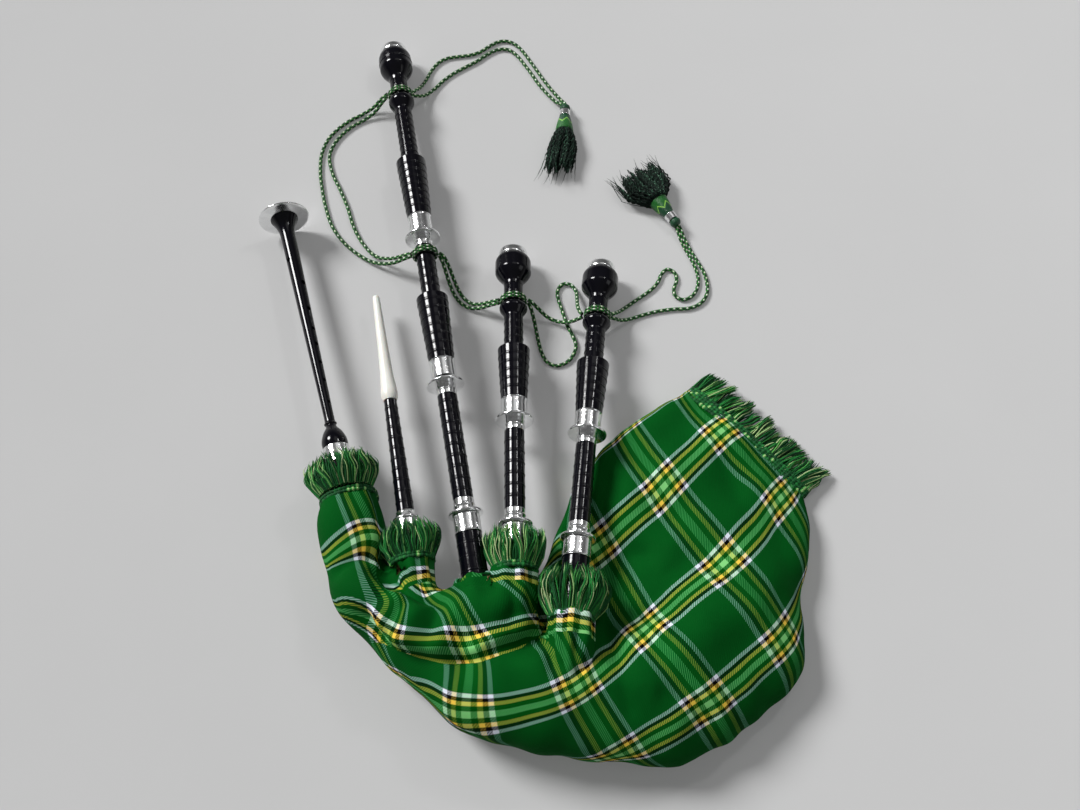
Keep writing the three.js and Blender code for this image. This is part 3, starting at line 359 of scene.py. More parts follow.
def node_points(name, place):
    """The vertices of a node in a place's frame."""
    return to_local(place, np.array([v.co for v in nodes[name].data.vertices]))


def axis_distance(local):
    return np.hypot(local[:, 0], local[:, 1])


def round_points(radius, turns, height):
    """Points round the Z axis. Each is a number or an array, and they fit together."""
    x, y = radius * np.cos(turns), radius * np.sin(turns)
    return np.stack(np.broadcast_arrays(x, y, height), axis=-1)


def travelled(points):
    """The way along a line, or along each of many, up to each of its points."""
    steps = np.linalg.norm(np.diff(points, axis=-2), axis=-1)
    return np.concatenate([np.zeros_like(steps[..., :1]), np.cumsum(steps, axis=-1)], axis=-1)


def smoothstep(x, low, high):
    t = np.clip((x - low) / (high - low), 0, 1)
    return t * t * (3 - 2 * t)


def vary(pair, share):
    """Goes up from the pair's first number by its second, as the share goes up to 1."""
    return pair[0] + pair[1] * share


def add_object(name, data):
    obj = bpy.data.objects.new(name, data)
    bpy.context.scene.collection.objects.link(obj)
    return obj


def put_map(mesh, name, pairs):
    """Adds a surface map with a pair for each face corner."""
    layer = mesh.uv_layers.new(name=name)
    layer.data.foreach_set("uv", np.asarray(pairs, np.float32).ravel())


def put_number(mesh, name, values):
    """Adds a number for each vertex."""
    attribute = mesh.attributes.new(name, "FLOAT", "POINT")
    attribute.data.foreach_set("value", np.asarray(values, np.float32))


def smooth_faces(mesh):
    mesh.polygons.foreach_set("use_smooth", [True] * len(mesh.polygons))


def paint(obj, material):
    obj.data.materials.clear()
    obj.data.materials.append(material)


def make_object(name, verts, faces, uvs=None, tints=None):
    """A smooth mesh object. uvs has a pair for each face corner, and tints a number per vertex."""
    mesh = bpy.data.meshes.new(name)
    mesh.from_pydata([tuple(v) for v in verts], [], [tuple(f) for f in faces])
    if uvs is not None:
        put_map(mesh, "surface", uvs)
    if tints is not None:
        put_number(mesh, "tint", tints)
    smooth_faces(mesh)
    return add_object(name, mesh)


def dress(obj, material, body, slot, *replaced):
    """Gives a piece its material and body, and hides the nodes that it stands for. The slot is not used.
    """
    paint(obj, material)
    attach(obj, body)
    if replaced:
        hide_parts(*replaced)
    return obj


# Materials

def fill_ramp(ramp, stops):
    """Sets a colour ramp's stops. Each is a position and a colour of three or four numbers."""
    while len(ramp.elements) < len(stops):
        ramp.elements.new(1.0)
    for element, (position, colour) in zip(ramp.elements, stops):
        element.position = position
        element.color = colour if len(colour) == 4 else (*colour, 1)


class Shader:
    """A node material round one Principled shader."""

    def __init__(self, name, **settings):
        self.material = bpy.data.materials.new(name)
        self.material.use_nodes = True
        self.tree = self.material.node_tree
        self.surface = self.tree.nodes["Principled BSDF"]
        for key, value in settings.items():
            self.put(self.surface, key.replace("_", " ").title().replace("Ior", "IOR"), value)

    def put(self, node, key, value):
        """Links an output to a node's input, or sets the input to a value."""
        socket = node.inputs[key]
        if isinstance(value, bpy.types.NodeSocket):
            self.tree.links.new(value, socket)
        elif socket.type == "RGBA" and len(value) == 3:
            socket.default_value = (*value, 1)
        else:
            socket.default_value = value

    def node(self, kind, inputs=None, **properties):
        node = self.tree.nodes.new("ShaderNode" + kind)
        for key, value in properties.items():
            setattr(node, key, value)
        for key, value in (inputs or {}).items():
            self.put(node, key, value)
        return node

    def math(self, operation, *values):
        return self.node("Math", dict(enumerate(values)), operation=operation).outputs[0]

    def noise(self, scale, detail=4.0, vector=None, roughness=0.55):
        if vector is None:
            vector = self.node("TexCoord").outputs["Object"]
        inputs = {"Scale": scale, "Detail": detail, "Roughness": roughness, "Vector": vector}
        return self.node("TexNoise", inputs).outputs["Fac"]

    def lines(self, position, scale, detail=2.0):
        """Noise that changes along one coordinate only."""
        inputs = {"W": position, "Scale": scale, "Detail": detail}
        return self.node("TexNoise", inputs, noise_dimensions="1D").outputs["Fac"]

    def uv(self, layer="surface"):
        return self.node("UVMap", uv_map=layer).outputs[0]

    def split(self, vector):
        outputs = self.node("SeparateXYZ", {"Vector": vector}).outputs
        return outputs[0], outputs[1]

    def ramp(self, factor, stops, interpolation="LINEAR"):
        node = self.node("ValToRGB", {"Fac": factor})
        node.color_ramp.interpolation = interpolation
        fill_ramp(node.color_ramp, stops)
        return node.outputs

    def mix(self, factor, first, second, kind="RGBA", **properties):
        """Two colours, or two vectors, mixed by a factor."""
        node = self.node("Mix", data_type=kind, **properties)
        start, result = (4, 1) if kind == "VECTOR" else (6, 2)
        self.put(node, 0, factor)
        self.put(node, start, first)
        self.put(node, start + 1, second)
        return node.outputs[result]

    def spread(self, factor, low, high):
        """A number from low to high as the factor goes from 0 to 1."""
        return self.math("MULTIPLY_ADD", factor, high - low, low)

    def bump(self, height, distance, below=None):
        inputs = {"Height": height, "Distance": distance}
        if below is not None:
            inputs["Normal"] = below
        return self.node("Bump", inputs).outputs["Normal"]

    def colour(self, value):
        self.put(self.surface, "Base Color", value)

    def tone(self, factor, low, high, high_at=0.7):
        """Base colour from low to high as the factor goes from 0.3 to high_at."""
        self.colour(self.ramp(factor, [(0.3, low), (high_at, high)])["Color"])

    def rough(self, factor, low, high):
        """Roughness from low to high as the factor goes from 0 to 1."""
        self.put(self.surface, "Roughness", self.spread(factor, low, high))

    def relief(self, normal):
        self.put(self.surface, "Normal", normal)


# How deep the relief of each surface looks, and how far light goes into the ivory plastic
TURNING_DEPTH = 0.03 * MM
GRAIN_DEPTH = 0.01 * MM
POLISH_DEPTH = 0.02 * MM
ENGRAVED_DEPTH = 0.04 * MM
IVORY_DEPTH = 0.03 * MM
TWILL_DEPTH = 0.16 * MM
NAP_DEPTH = 0.15 * MM
PLY_DEPTH = 0.4 * MM
BRAID_DEPTH = 1.2 * MM
WOUND_DEPTH = 0.3 * MM
LEATHER_DEPTH = 0.3 * MM
CANE_DEPTH = 0.1 * MM
IVORY_SCATTER = 4 * MM

# The engraving round a ferrule: two waves that cross
ENGRAVED_WAVES = 9
ENGRAVED_PITCH = 8.5 * MM
ENGRAVED_MIDDLE = 4.2 * MM
ENGRAVED_SWING = 3 * MM
ENGRAVED_LINE = 0.9 * MM
ENGRAVED_SOFT = 0.4 * MM

# Turns of the ply in a metre of yarn, and the zigzag round a tassel's head
PLY_TURNS = 420.0
ZIGZAG_TURNS = 10.0
ZIGZAG_HEIGHT = 7.5 * MM
ZIGZAG_FOOT = 15.5 * MM
ZIGZAG_WIDTH = 4 * MM


def black_gloss():
    shader = Shader("black_gloss", base_color=(0.0018, 0.0016, 0.004), specular_ior_level=0.32)
    _, along = shader.split(shader.uv())
    shader.rough(shader.noise(38.0), 0.05, 0.16)
    marks = shader.bump(shader.lines(along, 1300.0), TURNING_DEPTH)
    shader.relief(shader.bump(shader.noise(300.0), GRAIN_DEPTH, marks))
    return shader.material


def engraving(shader, around, along):
    """Two waves cut round a ferrule, which cross each other."""
    turn = shader.math("MULTIPLY", around, 2 * math.pi * ENGRAVED_WAVES)
    wave = shader.math("MULTIPLY", shader.math("SINE", turn), ENGRAVED_SWING)
    rise = shader.math("PINGPONG", along, ENGRAVED_PITCH)
    position = shader.math("SUBTRACT", rise, ENGRAVED_MIDDLE)
    sums = [shader.math(way, position, wave) for way in ("ADD", "SUBTRACT")]
    nearest = shader.math("MINIMUM", *[shader.math("ABSOLUTE", value) for value in sums])
    groove = shader.math("SMOOTH_MIN", nearest, ENGRAVED_LINE, ENGRAVED_SOFT)
    return shader.math("MULTIPLY", groove, 1 / MM)


def silver_metal(name="silver_metal", engraved=False):
    shader = Shader(name, metallic=1.0)
    around, along = shader.split(shader.uv())
    shader.tone(shader.noise(70.0), (0.78, 0.785, 0.79), (0.93, 0.935, 0.935), high_at=0.62)
    shader.rough(shader.noise(160.0), 0.12, 0.24)
    normal = shader.bump(shader.lines(along, 1500.0), POLISH_DEPTH)
    if engraved:
        normal = shader.bump(engraving(shader, around, along), ENGRAVED_DEPTH, normal)
    shader.relief(normal)
    return shader.material


def ivory_plastic():
    shader = Shader("ivory_plastic", subsurface_weight=0.12, subsurface_scale=IVORY_SCATTER)
    shader.tone(shader.noise(60.0), (0.80, 0.79, 0.72), (0.88, 0.875, 0.82))
    shader.rough(shader.noise(90.0), 0.28, 0.45)
    shader.relief(shader.bump(shader.noise(500.0), IVORY_DEPTH))
    return shader.material


def stripe_ramp(shader, position, stripes):
    """The thread colours along one direction of the check. Alpha marks the stripes."""
    period = sum(width for width, _ in stripes)
    stops, at = [], 0.0
    for width, colour in stripes:
        mark = 0.0 if colour in ("ground", "green") else 1.0
        stops.append((at / period, (*THREADS[colour], mark)))
        at += width
    return shader.ramp(shader.math("FRACT", position), stops, "CONSTANT")


def chosen_map(shader):
    """The cloth's own place at a point: below the long crease, above it, or round a sleeve."""
    chosen = shader.uv()
    for layer, mask in (("above", "above_crease"), ("sleeve", "on_sleeve")):
        reached = shader.node("Attribute", attribute_name=mask).outputs["Fac"]
        inside = shader.math("GREATER_THAN", reached, 0.0)
        chosen = shader.mix(inside, chosen, shader.uv(layer), "VECTOR")
    return shader.split(chosen)


def tartan_cloth():
    """Twill whose columns and rows each bring their own stripes. Colours are mixed as displayed."""
    shader = Shader("tartan_cloth", specular_ior_level=0.06)
    column, row = chosen_map(shader)
    columns = stripe_ramp(shader, shader.math("ADD", column, COLUMN_HALF_BAND), COLUMN_STRIPES)
    rows = stripe_ramp(shader, shader.math("ADD", row, ROW_HALF_BAND), ROW_STRIPES)
    across = shader.math("MULTIPLY", row, ROW_PERIOD / TWILL_PITCH)
    diagonal = shader.math("MULTIPLY_ADD", column, COLUMN_PERIOD / TWILL_PITCH, across)
    rib = shader.math("PINGPONG", shader.math("FRACT", diagonal), 0.5)
    over = shader.math("SMOOTH_MIN", shader.math("MULTIPLY", rib, 2.0), 1.0, 0.2)
    marks = shader.math("SUBTRACT", rows["Alpha"], columns["Alpha"])
    balance = shader.math("MULTIPLY_ADD", marks, -0.15, 0.59)
    share = shader.math("MULTIPLY_ADD", shader.math("SUBTRACT", over, 0.45), 0.6, balance)
    mixed = shader.mix(share, columns["Color"], rows["Color"], clamp_factor=True)
    shown = shader.node("Gamma", {"Color": mixed, "Gamma": 2.2}).outputs[0]
    fade = shader.spread(shader.noise(22.0, 6.0), 0.78, 1.16)
    toned = shader.node("VectorMath", operation="SCALE")
    shader.put(toned, 0, shown)
    shader.put(toned, "Scale", fade)
    shader.colour(toned.outputs[0])
    shader.rough(shader.noise(300.0), 0.78, 0.95)
    weave = shader.bump(over, TWILL_DEPTH)
    shader.relief(shader.bump(shader.noise(900.0, 3.0), NAP_DEPTH, weave))
    return shader.material


YARN_TONES = [(0.0, (0.002, 0.030, 0.008)), (0.35, (0.006, 0.105, 0.022)), (0.62, (0.018, 0.24, 0.04)),
              (0.8, (0.12, 0.42, 0.08)), (1.0, (0.52, 0.62, 0.32))]
DARK_TONES = [(0.0, (0.001, 0.005, 0.003)), (0.7, (0.002, 0.018, 0.009)), (0.84, (0.01, 0.06, 0.03)),
              (0.95, (0.12, 0.24, 0.16))]


def yarn(name, tones, speckle):
    shader = Shader(name, specular_ior_level=0.25)
    tint = shader.node("Attribute", attribute_name="tint").outputs["Fac"]
    uneven = shader.math("SUBTRACT", shader.noise(600.0), 0.5)
    fleck = shader.math("MULTIPLY_ADD", uneven, speckle, tint)
    shader.colour(shader.ramp(fleck, tones)["Color"])
    shader.rough(shader.noise(400.0), 0.55, 0.85)
    around, along = shader.split(shader.uv())
    twist = shader.math("MULTIPLY_ADD", along, PLY_TURNS, shader.math("MULTIPLY", around, 2.0))
    ply = shader.math("PINGPONG", shader.math("FRACT", twist), 0.5)
    shader.relief(shader.bump(ply, PLY_DEPTH))
    return shader.material


def cord_braid():
    """A round braid: two families of strands that cross, with pale and dark picks among them."""
    shader = Shader("cord_green", sheen_weight=0.1, specular_ior_level=0.3)
    around, along = shader.split(shader.uv())
    rise = shader.math("MULTIPLY", along, 1.0 / BRAID_LAY)
    families = [shader.math("MULTIPLY_ADD", around, sign * BRAID_COUNT, rise) for sign in (1.0, -1.0)]
    odd = [shader.math("FLOORED_MODULO", shader.math("FLOOR", family), 2.0) for family in families]
    inside = [shader.math("PINGPONG", shader.math("FRACT", family), 0.5) for family in families]
    height = shader.math("SMOOTH_MIN", inside[0], inside[1], 0.15)
    kind = shader.math("MULTIPLY_ADD", odd[0], 2.0, odd[1])
    fleck = shader.math("MULTIPLY_ADD", shader.math("SUBTRACT", shader.noise(160.0), 0.5), 0.2, 0.1)
    colours = shader.ramp(
        shader.math("MULTIPLY_ADD", kind, 0.25, fleck),
        [(0.0, (0.74, 0.84, 0.60)), (0.10, (0.78, 0.84, 0.74)), (0.24, (0.010, 0.16, 0.016)),
         (0.5, (0.03, 0.26, 0.03)), (0.74, (0.002, 0.035, 0.006))],
        "CONSTANT",
    )
    # Painted shade: the colour darkens in the grooves between the strands, following the same height as
    # the bump.
    groove = shader.ramp(height, [(0.0, (0.05, 0.07, 0.05)), (0.2, (1, 1, 1))])
    shader.colour(shader.mix(1.0, colours["Color"], groove["Color"], blend_type="MULTIPLY"))
    shader.rough(shader.noise(500.0), 0.5, 0.75)
    shader.relief(shader.bump(height, BRAID_DEPTH))
    return shader.material


def tassel_satin():
    """The wound head of a tassel: fine turns of green thread with a pale zigzag round it."""
    shader = Shader("tassel_satin", specular_ior_level=0.5)
    around, along = shader.split(shader.uv())
    turn = shader.math("PINGPONG", shader.math("MULTIPLY", around, ZIGZAG_TURNS), 1.0)
    middle = shader.math("MULTIPLY_ADD", turn, ZIGZAG_HEIGHT, ZIGZAG_FOOT)
    away = shader.math("SUBTRACT", along, middle)
    line = shader.ramp(
        shader.math("MULTIPLY_ADD", away, 1 / ZIGZAG_WIDTH, 0.5),
        [(0.0, (0.002, 0.06, 0.02)), (0.2, (0.004, 0.13, 0.02)), (0.3, (0.25, 0.55, 0.08)),
         (0.7, (0.28, 0.58, 0.08)), (0.8, (0.008, 0.22, 0.012)), (1.0, (0.004, 0.12, 0.01))],
    )
    shader.colour(line["Color"])
    shader.rough(shader.noise(200.0), 0.32, 0.5)
    shader.relief(shader.bump(shader.lines(along, 2400.0), WOUND_DEPTH))
    return shader.material


def leather():
    shader = Shader("bag_leather", specular_ior_level=0.3)
    shader.tone(shader.noise(45.0), (0.16, 0.085, 0.04), (0.27, 0.155, 0.08))
    shader.rough(shader.noise(120.0), 0.6, 0.85)
    place = shader.node("TexCoord").outputs["Object"]
    grain = shader.node("TexVoronoi", {"Scale": 700.0, "Vector": place}).outputs["Distance"]
    shader.relief(shader.bump(grain, LEATHER_DEPTH))
    return shader.material


def cane():
    shader = Shader("cane", specular_ior_level=0.4)
    place = shader.node("TexCoord").outputs["Object"]
    long_grain = shader.node("Mapping", {"Vector": place, "Scale": (900.0, 60.0, 900.0)}).outputs[0]
    grain = shader.noise(1.0, 5.0, long_grain)
    shader.tone(grain, (0.50, 0.34, 0.13), (0.70, 0.53, 0.25))
    shader.rough(grain, 0.4, 0.6)
    shader.relief(shader.bump(grain, CANE_DEPTH))
    return shader.material


MATERIALS = {
    "black_gloss": black_gloss(),
    "silver_metal": silver_metal(),
    "silver_engraved": silver_metal("silver_engraved", True),
    "ivory_plastic": ivory_plastic(),
    "tartan_cloth": tartan_cloth(),
    "fringe_yarn": yarn("fringe_yarn", YARN_TONES, 0.22),
    "tassel_yarn": yarn("tassel_yarn", DARK_TONES, 2.4),
    "cord_green": cord_braid(),
    "tassel_satin": tassel_satin(),
    "bag_leather": leather(),
    "cane": cane(),
}


# Camera, stage and light

def stand(obj, place):
    """Puts the camera or a lamp at a place beside the target, aimed at the target."""
    place = Vector(place)
    obj.location = Vector(CAMERA_TARGET) + place
    obj.rotation_mode = "QUATERNION"
    obj.rotation_quaternion = (-place).to_track_quat("-Z", "Y")


def make_camera():
    data = bpy.data.cameras.new("camera")
    data.lens = CAMERA_LENS
    data.sensor_width = CAMERA_SENSOR
    camera = add_object("camera", data)
    back = Vector((0, -math.cos(CAMERA_ELEVATION), math.sin(CAMERA_ELEVATION)))
    stand(camera, back * CAMERA_DISTANCE)
    bpy.context.scene.camera = camera


def make_stage():
    corners = np.array([(-1, -1, 0), (1, -1, 0), (1, 1, 0), (-1, 1, 0)]) * FLOOR_HALF
    floor = make_object("floor", corners, [(0, 1, 2, 3)])
    shader = Shader("floor", roughness=0.9, specular_ior_level=0.1, emission_color=(1, 1, 1))
    shader.tone(shader.noise(3.0), (0.475, 0.475, 0.475), (0.49, 0.49, 0.49))
    path = shader.node("LightPath").outputs
    seen = shader.math("MAXIMUM", path["Is Camera Ray"], path["Is Glossy Ray"])
    seen = shader.math("MAXIMUM", seen, path["Is Transmission Ray"])
    shader.put(shader.surface, "Emission Strength", shader.math("MULTIPLY", seen, FLOOR_GLOW))
    paint(floor, shader.material)


def make_lights():
    key = bpy.data.lights.new("key", "SUN")
    key.energy = KEY_STRENGTH
    key.angle = KEY_ANGLE
    stand(add_object("key", key), KEY_PLACE)
    for name, (place, size, power, colour) in LAMPS.items():
        data = bpy.data.lights.new(name, "AREA")
        data.size = size
        data.energy = power
        data.color = colour
        stand(add_object(name, data), place)


def make_world():
    """Light from all round whose tone changes with the height it comes from."""
    world = bpy.data.worlds.new("studio")
    world.use_nodes = True
    tree = world.node_tree
    direction = tree.nodes.new("ShaderNodeTexCoord").outputs["Generated"]
    split = tree.nodes.new("ShaderNodeSeparateXYZ")
    tree.links.new(direction, split.inputs[0])
    ramp = tree.nodes.new("ShaderNodeValToRGB")
    fill_ramp(ramp.color_ramp, [(position, (tone, tone, tone)) for position, tone in WORLD_TONES])
    tree.links.new(split.outputs[2], ramp.inputs[0])
    tree.links.new(ramp.outputs[0], tree.nodes["Background"].inputs[0])
    bpy.context.scene.world = world


# Turned pieces

def read_outline(node, place):
    """The outline of a turned node as (height, radius), walked along one meridian of its mesh."""
    mesh = node.data
    index, points, number = {}, [], []
    for vertex in mesh.vertices:
        key = tuple(vertex.co)
        if key not in index:
            index[key] = len(points)
            points.append(key)
        number.append(index[key])
    local = to_local(place, np.array(points))
    radius = axis_distance(local)
    angle = np.degrees(np.arctan2(local[:, 1], local[:, 0]))
    on_axis = radius < AXIS_REACH
    links = {frozenset((number[a], number[b])) for a, b in mesh.edge_keys}
    links = links - {frozenset((n,)) for n in number}
    best = None
    for start in np.unique(np.round(angle[~on_axis], 1)):
        near = np.abs((angle - start + 180) % 360 - 180) < MERIDIAN_WIDTH
        members = set(np.flatnonzero(near & ~on_axis)) | set(np.flatnonzero(on_axis))
        walk = walk_round(members, links, on_axis)
        if walk and (best is None or len(walk) < len(best)):
            best = walk
    if best is None:
        raise RuntimeError(f"{node.name} has no whole meridian")
    return [(float(local[i, 2]), float(radius[i])) for i in best]


def walk_round(members, links, on_axis):
    """The members in order along their links, if they make one whole loop or pole to pole line."""
    joined = {m: [] for m in members}
    for a, b in links:
        if a in joined and b in joined and not (on_axis[a] and on_axis[b]):
            joined[a].append(b)
            joined[b].append(a)
    poles = [m for m in members if on_axis[m]]
    if any(len(joined[m]) != (1 if m in poles else 2) for m in members) or len(poles) not in (0, 2):
        return None
    walk = [poles[0] if poles else next(iter(members))]
    before = None
    while True:
        onward = [m for m in joined[walk[-1]] if m != before]
        if not onward or onward[0] == walk[0]:
            break
        before = walk[-1]
        walk.append(onward[0])
    return walk if len(walk) == len(members) else None


def oriented(points):
    """The outline with its outer side going up."""
    area = sum(a[0] * b[1] - b[0] * a[1] for a, b in zip(points, points[1:] + points[:1]))
    return points[::-1] if area > 0 else points


def softened(points, soft_cut=SOFT_CUT):
    """Rounds every corner of an outline: gentle ones into curves, and sharp ones by a little."""
    flat = [Vector((h, r)) for h, r in points]
    is_open = points[0][1] < POLE_REACH
    out = []
    for i, here in enumerate(flat):
        before, after = flat[i - 1], flat[(i + 1) % len(flat)]
        if is_open and i in (0, len(flat) - 1):
            out.append(here)
            continue
        back, forth = before - here, after - here
        turn = math.pi - back.angle(forth)
        if turn < LEAST_TURN:
            out.append(here)
            continue
        share, limit = (SOFT_SHARE, soft_cut) if turn < SOFT_TURN else (SHARP_SHARE, SHARP_CUT)
        cuts = [min(share * side.length, limit) for side in (back, forth)]
        first = here + back.normalized() * cuts[0]
        last = here + forth.normalized() * cuts[1]
        if back.length - 2 * cuts[0] > 4 * SUPPORT_GAP:
            out.append(here + back.normalized() * (cuts[0] + SUPPORT_GAP))
        for k in range(CORNER_STEPS + 1):
            t = k / CORNER_STEPS
            out.append(first * (1 - t) ** 2 + here * 2 * t * (1 - t) + last * t ** 2)
        if forth.length - 2 * cuts[1] > 4 * SUPPORT_GAP:
            out.append(here + forth.normalized() * (cuts[1] + SUPPORT_GAP))
    return [(p.x, p.y) for p in out]


def combed(points, pitch, least_radius, least_length):
    """Adds raised double rings to each long run of the outer side."""
    out = []
    for (h0, r0), (h1, r1) in zip(points, points[1:] + points[:1]):
        out.append((h0, r0))
        run = h1 - h0
        if run < least_length or min(r0, r1) < least_radius:
            continue
        count = int((run - 2 * COMB_MARGIN) / pitch) + 1
        first = h0 + (run - (count - 1) * pitch) / 2
        for k in range(count):
            for along, proud in RING_SHARES:
                h = first + k * pitch + along * RING_HALF_WIDTH
                r = r0 + (r1 - r0) * (h - h0) / run
                out.append((h, r + proud * RING_HEIGHT))
    return out


def skin_rings(travel, sides):
    """Faces between rings of points, and their map: the share of the turn, and the way along.

    travel has a row for each tube, with the way to each of its rings.
    """
    count, length = travel.shape
    grid = np.meshgrid(np.arange(count), np.arange(length - 1), np.arange(sides), indexing="ij")
    s, i, k = (index.ravel() for index in grid)
    j = (k + 1) % sides
    base = (s * length + i) * sides
    faces = np.stack([base + k, base + j, base + sides + j, base + sides + k], axis=1)
    corners = [(k, i), (k + 1, i), (k + 1, i + 1), (k, i + 1)]
    uvs = np.stack([np.stack([a / sides, travel[s, b]], axis=1) for a, b in corners], axis=1)
    return faces, uvs.reshape(-1, 2)


def lathe(name, points, place, sides=TURNED_SIDES, closed=True):
    """Turns an outline round the Z axis of a place. V of the surface map runs along the outline."""
    outline = np.array(points)
    if closed:
        outline = np.vstack([outline, outline[:1]])
    turns = 2 * np.pi * np.arange(sides) / sides
    rings = round_points(outline[:, 1:], turns, outline[:, :1])
    faces, uvs = skin_rings(travelled(outline)[None], sides)
    obj = make_object(name, to_world(place, rings.reshape(-1, 3)), faces, uvs)
    tidy = bmesh.new()
    tidy.from_mesh(obj.data)
    bmesh.ops.remove_doubles(tidy, verts=tidy.verts, dist=MERGE_REACH)
    bmesh.ops.recalc_face_normals(tidy, faces=tidy.faces)
    tidy.to_mesh(obj.data)
    tidy.free()
    return obj


def turned_material(name):
    """The material and the slot of a turned node, by its name."""
    if name.endswith("ferrule"):
        return "silver_engraved", "silver_metal"
    if name.endswith(("mount", "ring_cap", "sole")):
        return "silver_metal", "silver_metal"
    if name == "mouthpiece":
        return "ivory_plastic", "ivory_plastic"
    return "black_gloss", "black_gloss"


TURNED_ENDS = ("_stock", "ferrule", "mount", "_joint", "_bell", "ring_cap", "sole", "blowpipe",
               "mouthpiece", "chanter")


def make_turned():
    """All turned nodes, rounded and combed."""
    made = {}
    for name in sorted(nodes):
        if not name.endswith(TURNED_ENDS):
            continue
        place = PIPES[pipe_of(name)]
        outline = read_outline(nodes[name], place)
        closed = min(r for _, r in outline) > AXIS_REACH
        outline = oriented(outline) if closed else outline
        outline = softened(outline, LONG_CUT if name in LONG_CUT_NODES else SOFT_CUT)
        for ending, comb in COMBS.items():
            if name.endswith(ending):
                outline = combed(outline, *comb)
        piece = lathe(f"{name}_turned", outline, place, closed=closed)
        material, slot = turned_material(name)
        dress(piece, MATERIALS[material], nodes[name]["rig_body"], slot, name)
        made[name] = piece
    return made


# Finger holes of the chanter: shares of its length, radii, and turns from upright
CHANTER_LENGTH = 338 * MM
CHANTER_REACH = 40 * MM
DRILL_SIDES = 20
EDGE_ANGLE = math.radians(40)
FINGER_SHARES = [0.175, 0.263, 0.337, 0.413, 0.478, 0.565, 0.68]
FINGER_RADII = [1.9 * MM, 2.1 * MM, 2.2 * MM, 2.4 * MM, 2.6 * MM, 2.8 * MM, 3 * MM]
FINGER_TURN = 0.9
THUMB_SHARE = 0.14
THUMB_RADIUS = 1.9 * MM
SOUND_SHARE = 0.79
SOUND_RADIUS = 3 * MM


def rod_outline(low, high, radius):
    return [(low, 0), (low, radius), (high, radius), (high, 0)]


def drill(share, radius, turn, reach, out=0.5):
    """A thin cylinder across the chanter at a share of its length, moved out by a share of itself."""
    direction = Vector((-math.sin(turn), math.cos(turn), 0))
    centre = Vector((0, 0, share * CHANTER_LENGTH)) + direction * reach * out
    local = Matrix.Translation(centre) @ direction.to_track_quat("Z", "Y").to_matrix().to_4x4()
    outline = rod_outline(-reach / 2, reach / 2, radius)
    return lathe("drill", outline, PIPES["chanter"] @ local, DRILL_SIDES, False)


def cut_with(obj, tools):
    """Cuts the tools out of the piece, and removes them."""
    joined = bmesh.new()
    for tool in tools:
        joined.from_mesh(tool.data)
        bpy.data.objects.remove(tool)
    mesh = bpy.data.meshes.new("cutter")
    joined.to_mesh(mesh)
    joined.free()
    cutter = add_object("cutter", mesh)
    modifier = obj.modifiers.new("cut", "BOOLEAN")
    modifier.object = cutter
    modifier.operation = "DIFFERENCE"
    modifier.solver = "EXACT"
    bake(obj)
    bpy.data.objects.remove(cutter)


def bake(obj):
    """Turns a piece's modifiers into its own mesh."""
    graph = bpy.context.evaluated_depsgraph_get()
    graph.update()
    mesh = bpy.data.meshes.new_from_object(obj.evaluated_get(graph))
    obj.modifiers.clear()
    old = obj.data
    obj.data = mesh
    bpy.data.meshes.remove(old)


def drill_chanter(chanter):
    """Cuts the finger holes, the thumb hole opposite, and the sound holes right across."""
    tools = []
    for share, radius in zip(FINGER_SHARES, FINGER_RADII):
        tools.append(drill(share, radius, FINGER_TURN, CHANTER_REACH))
    tools.append(drill(THUMB_SHARE, THUMB_RADIUS, FINGER_TURN + math.pi, CHANTER_REACH))
    across = FINGER_TURN + math.pi / 2
    tools.append(drill(SOUND_SHARE, SOUND_RADIUS, across, 2 * CHANTER_REACH, 0))
    cut_with(chanter, tools)
    chanter.data.set_sharp_from_angle(angle=EDGE_ANGLE)


# Tubes: cords and yarn

def tube_mesh(paths, radii, sides):
    """Tubes along paths of equal point count: vertices, faces and surface map of all of them."""
    paths = np.asarray(paths, float)
    tangents = np.gradient(paths, axis=1)
    tangents /= np.linalg.norm(tangents, axis=2, keepdims=True) + TINY
    up = np.tile([0.0, 0.0, 1.0], (len(paths), 1))
    up[np.abs(tangents[:, 0, 2]) > STEEP] = [1.0, 0.0, 0.0]
    across = np.cross(tangents[:, 0], up)
    across /= np.linalg.norm(across, axis=1, keepdims=True)
    first = np.empty_like(paths)
    for i in range(paths.shape[1]):
        across = across - tangents[:, i] * np.sum(across * tangents[:, i], axis=1, keepdims=True)
        across /= np.linalg.norm(across, axis=1, keepdims=True) + TINY
        first[:, i] = across
    second = np.cross(tangents, first)
    turns = 2 * np.pi * np.arange(sides) / sides
    ring = first[:, :, None] * np.cos(turns)[:, None] + second[:, :, None] * np.sin(turns)[:, None]
    verts = paths[:, :, None] + ring * np.asarray(radii)[..., None, None]
    return verts.reshape(-1, 3), *skin_rings(travelled(paths), sides)


def cap_ends(obj, sides, length):
    """Closes both ends of a single tube."""
    mesh = bmesh.new()
    mesh.from_mesh(obj.data)
    mesh.verts.ensure_lookup_table()
    mesh.faces.new([mesh.verts[k] for k in range(sides)][::-1])
    mesh.faces.new([mesh.verts[(length - 1) * sides + k] for k in range(sides)])
    mesh.to_mesh(obj.data)
    mesh.free()


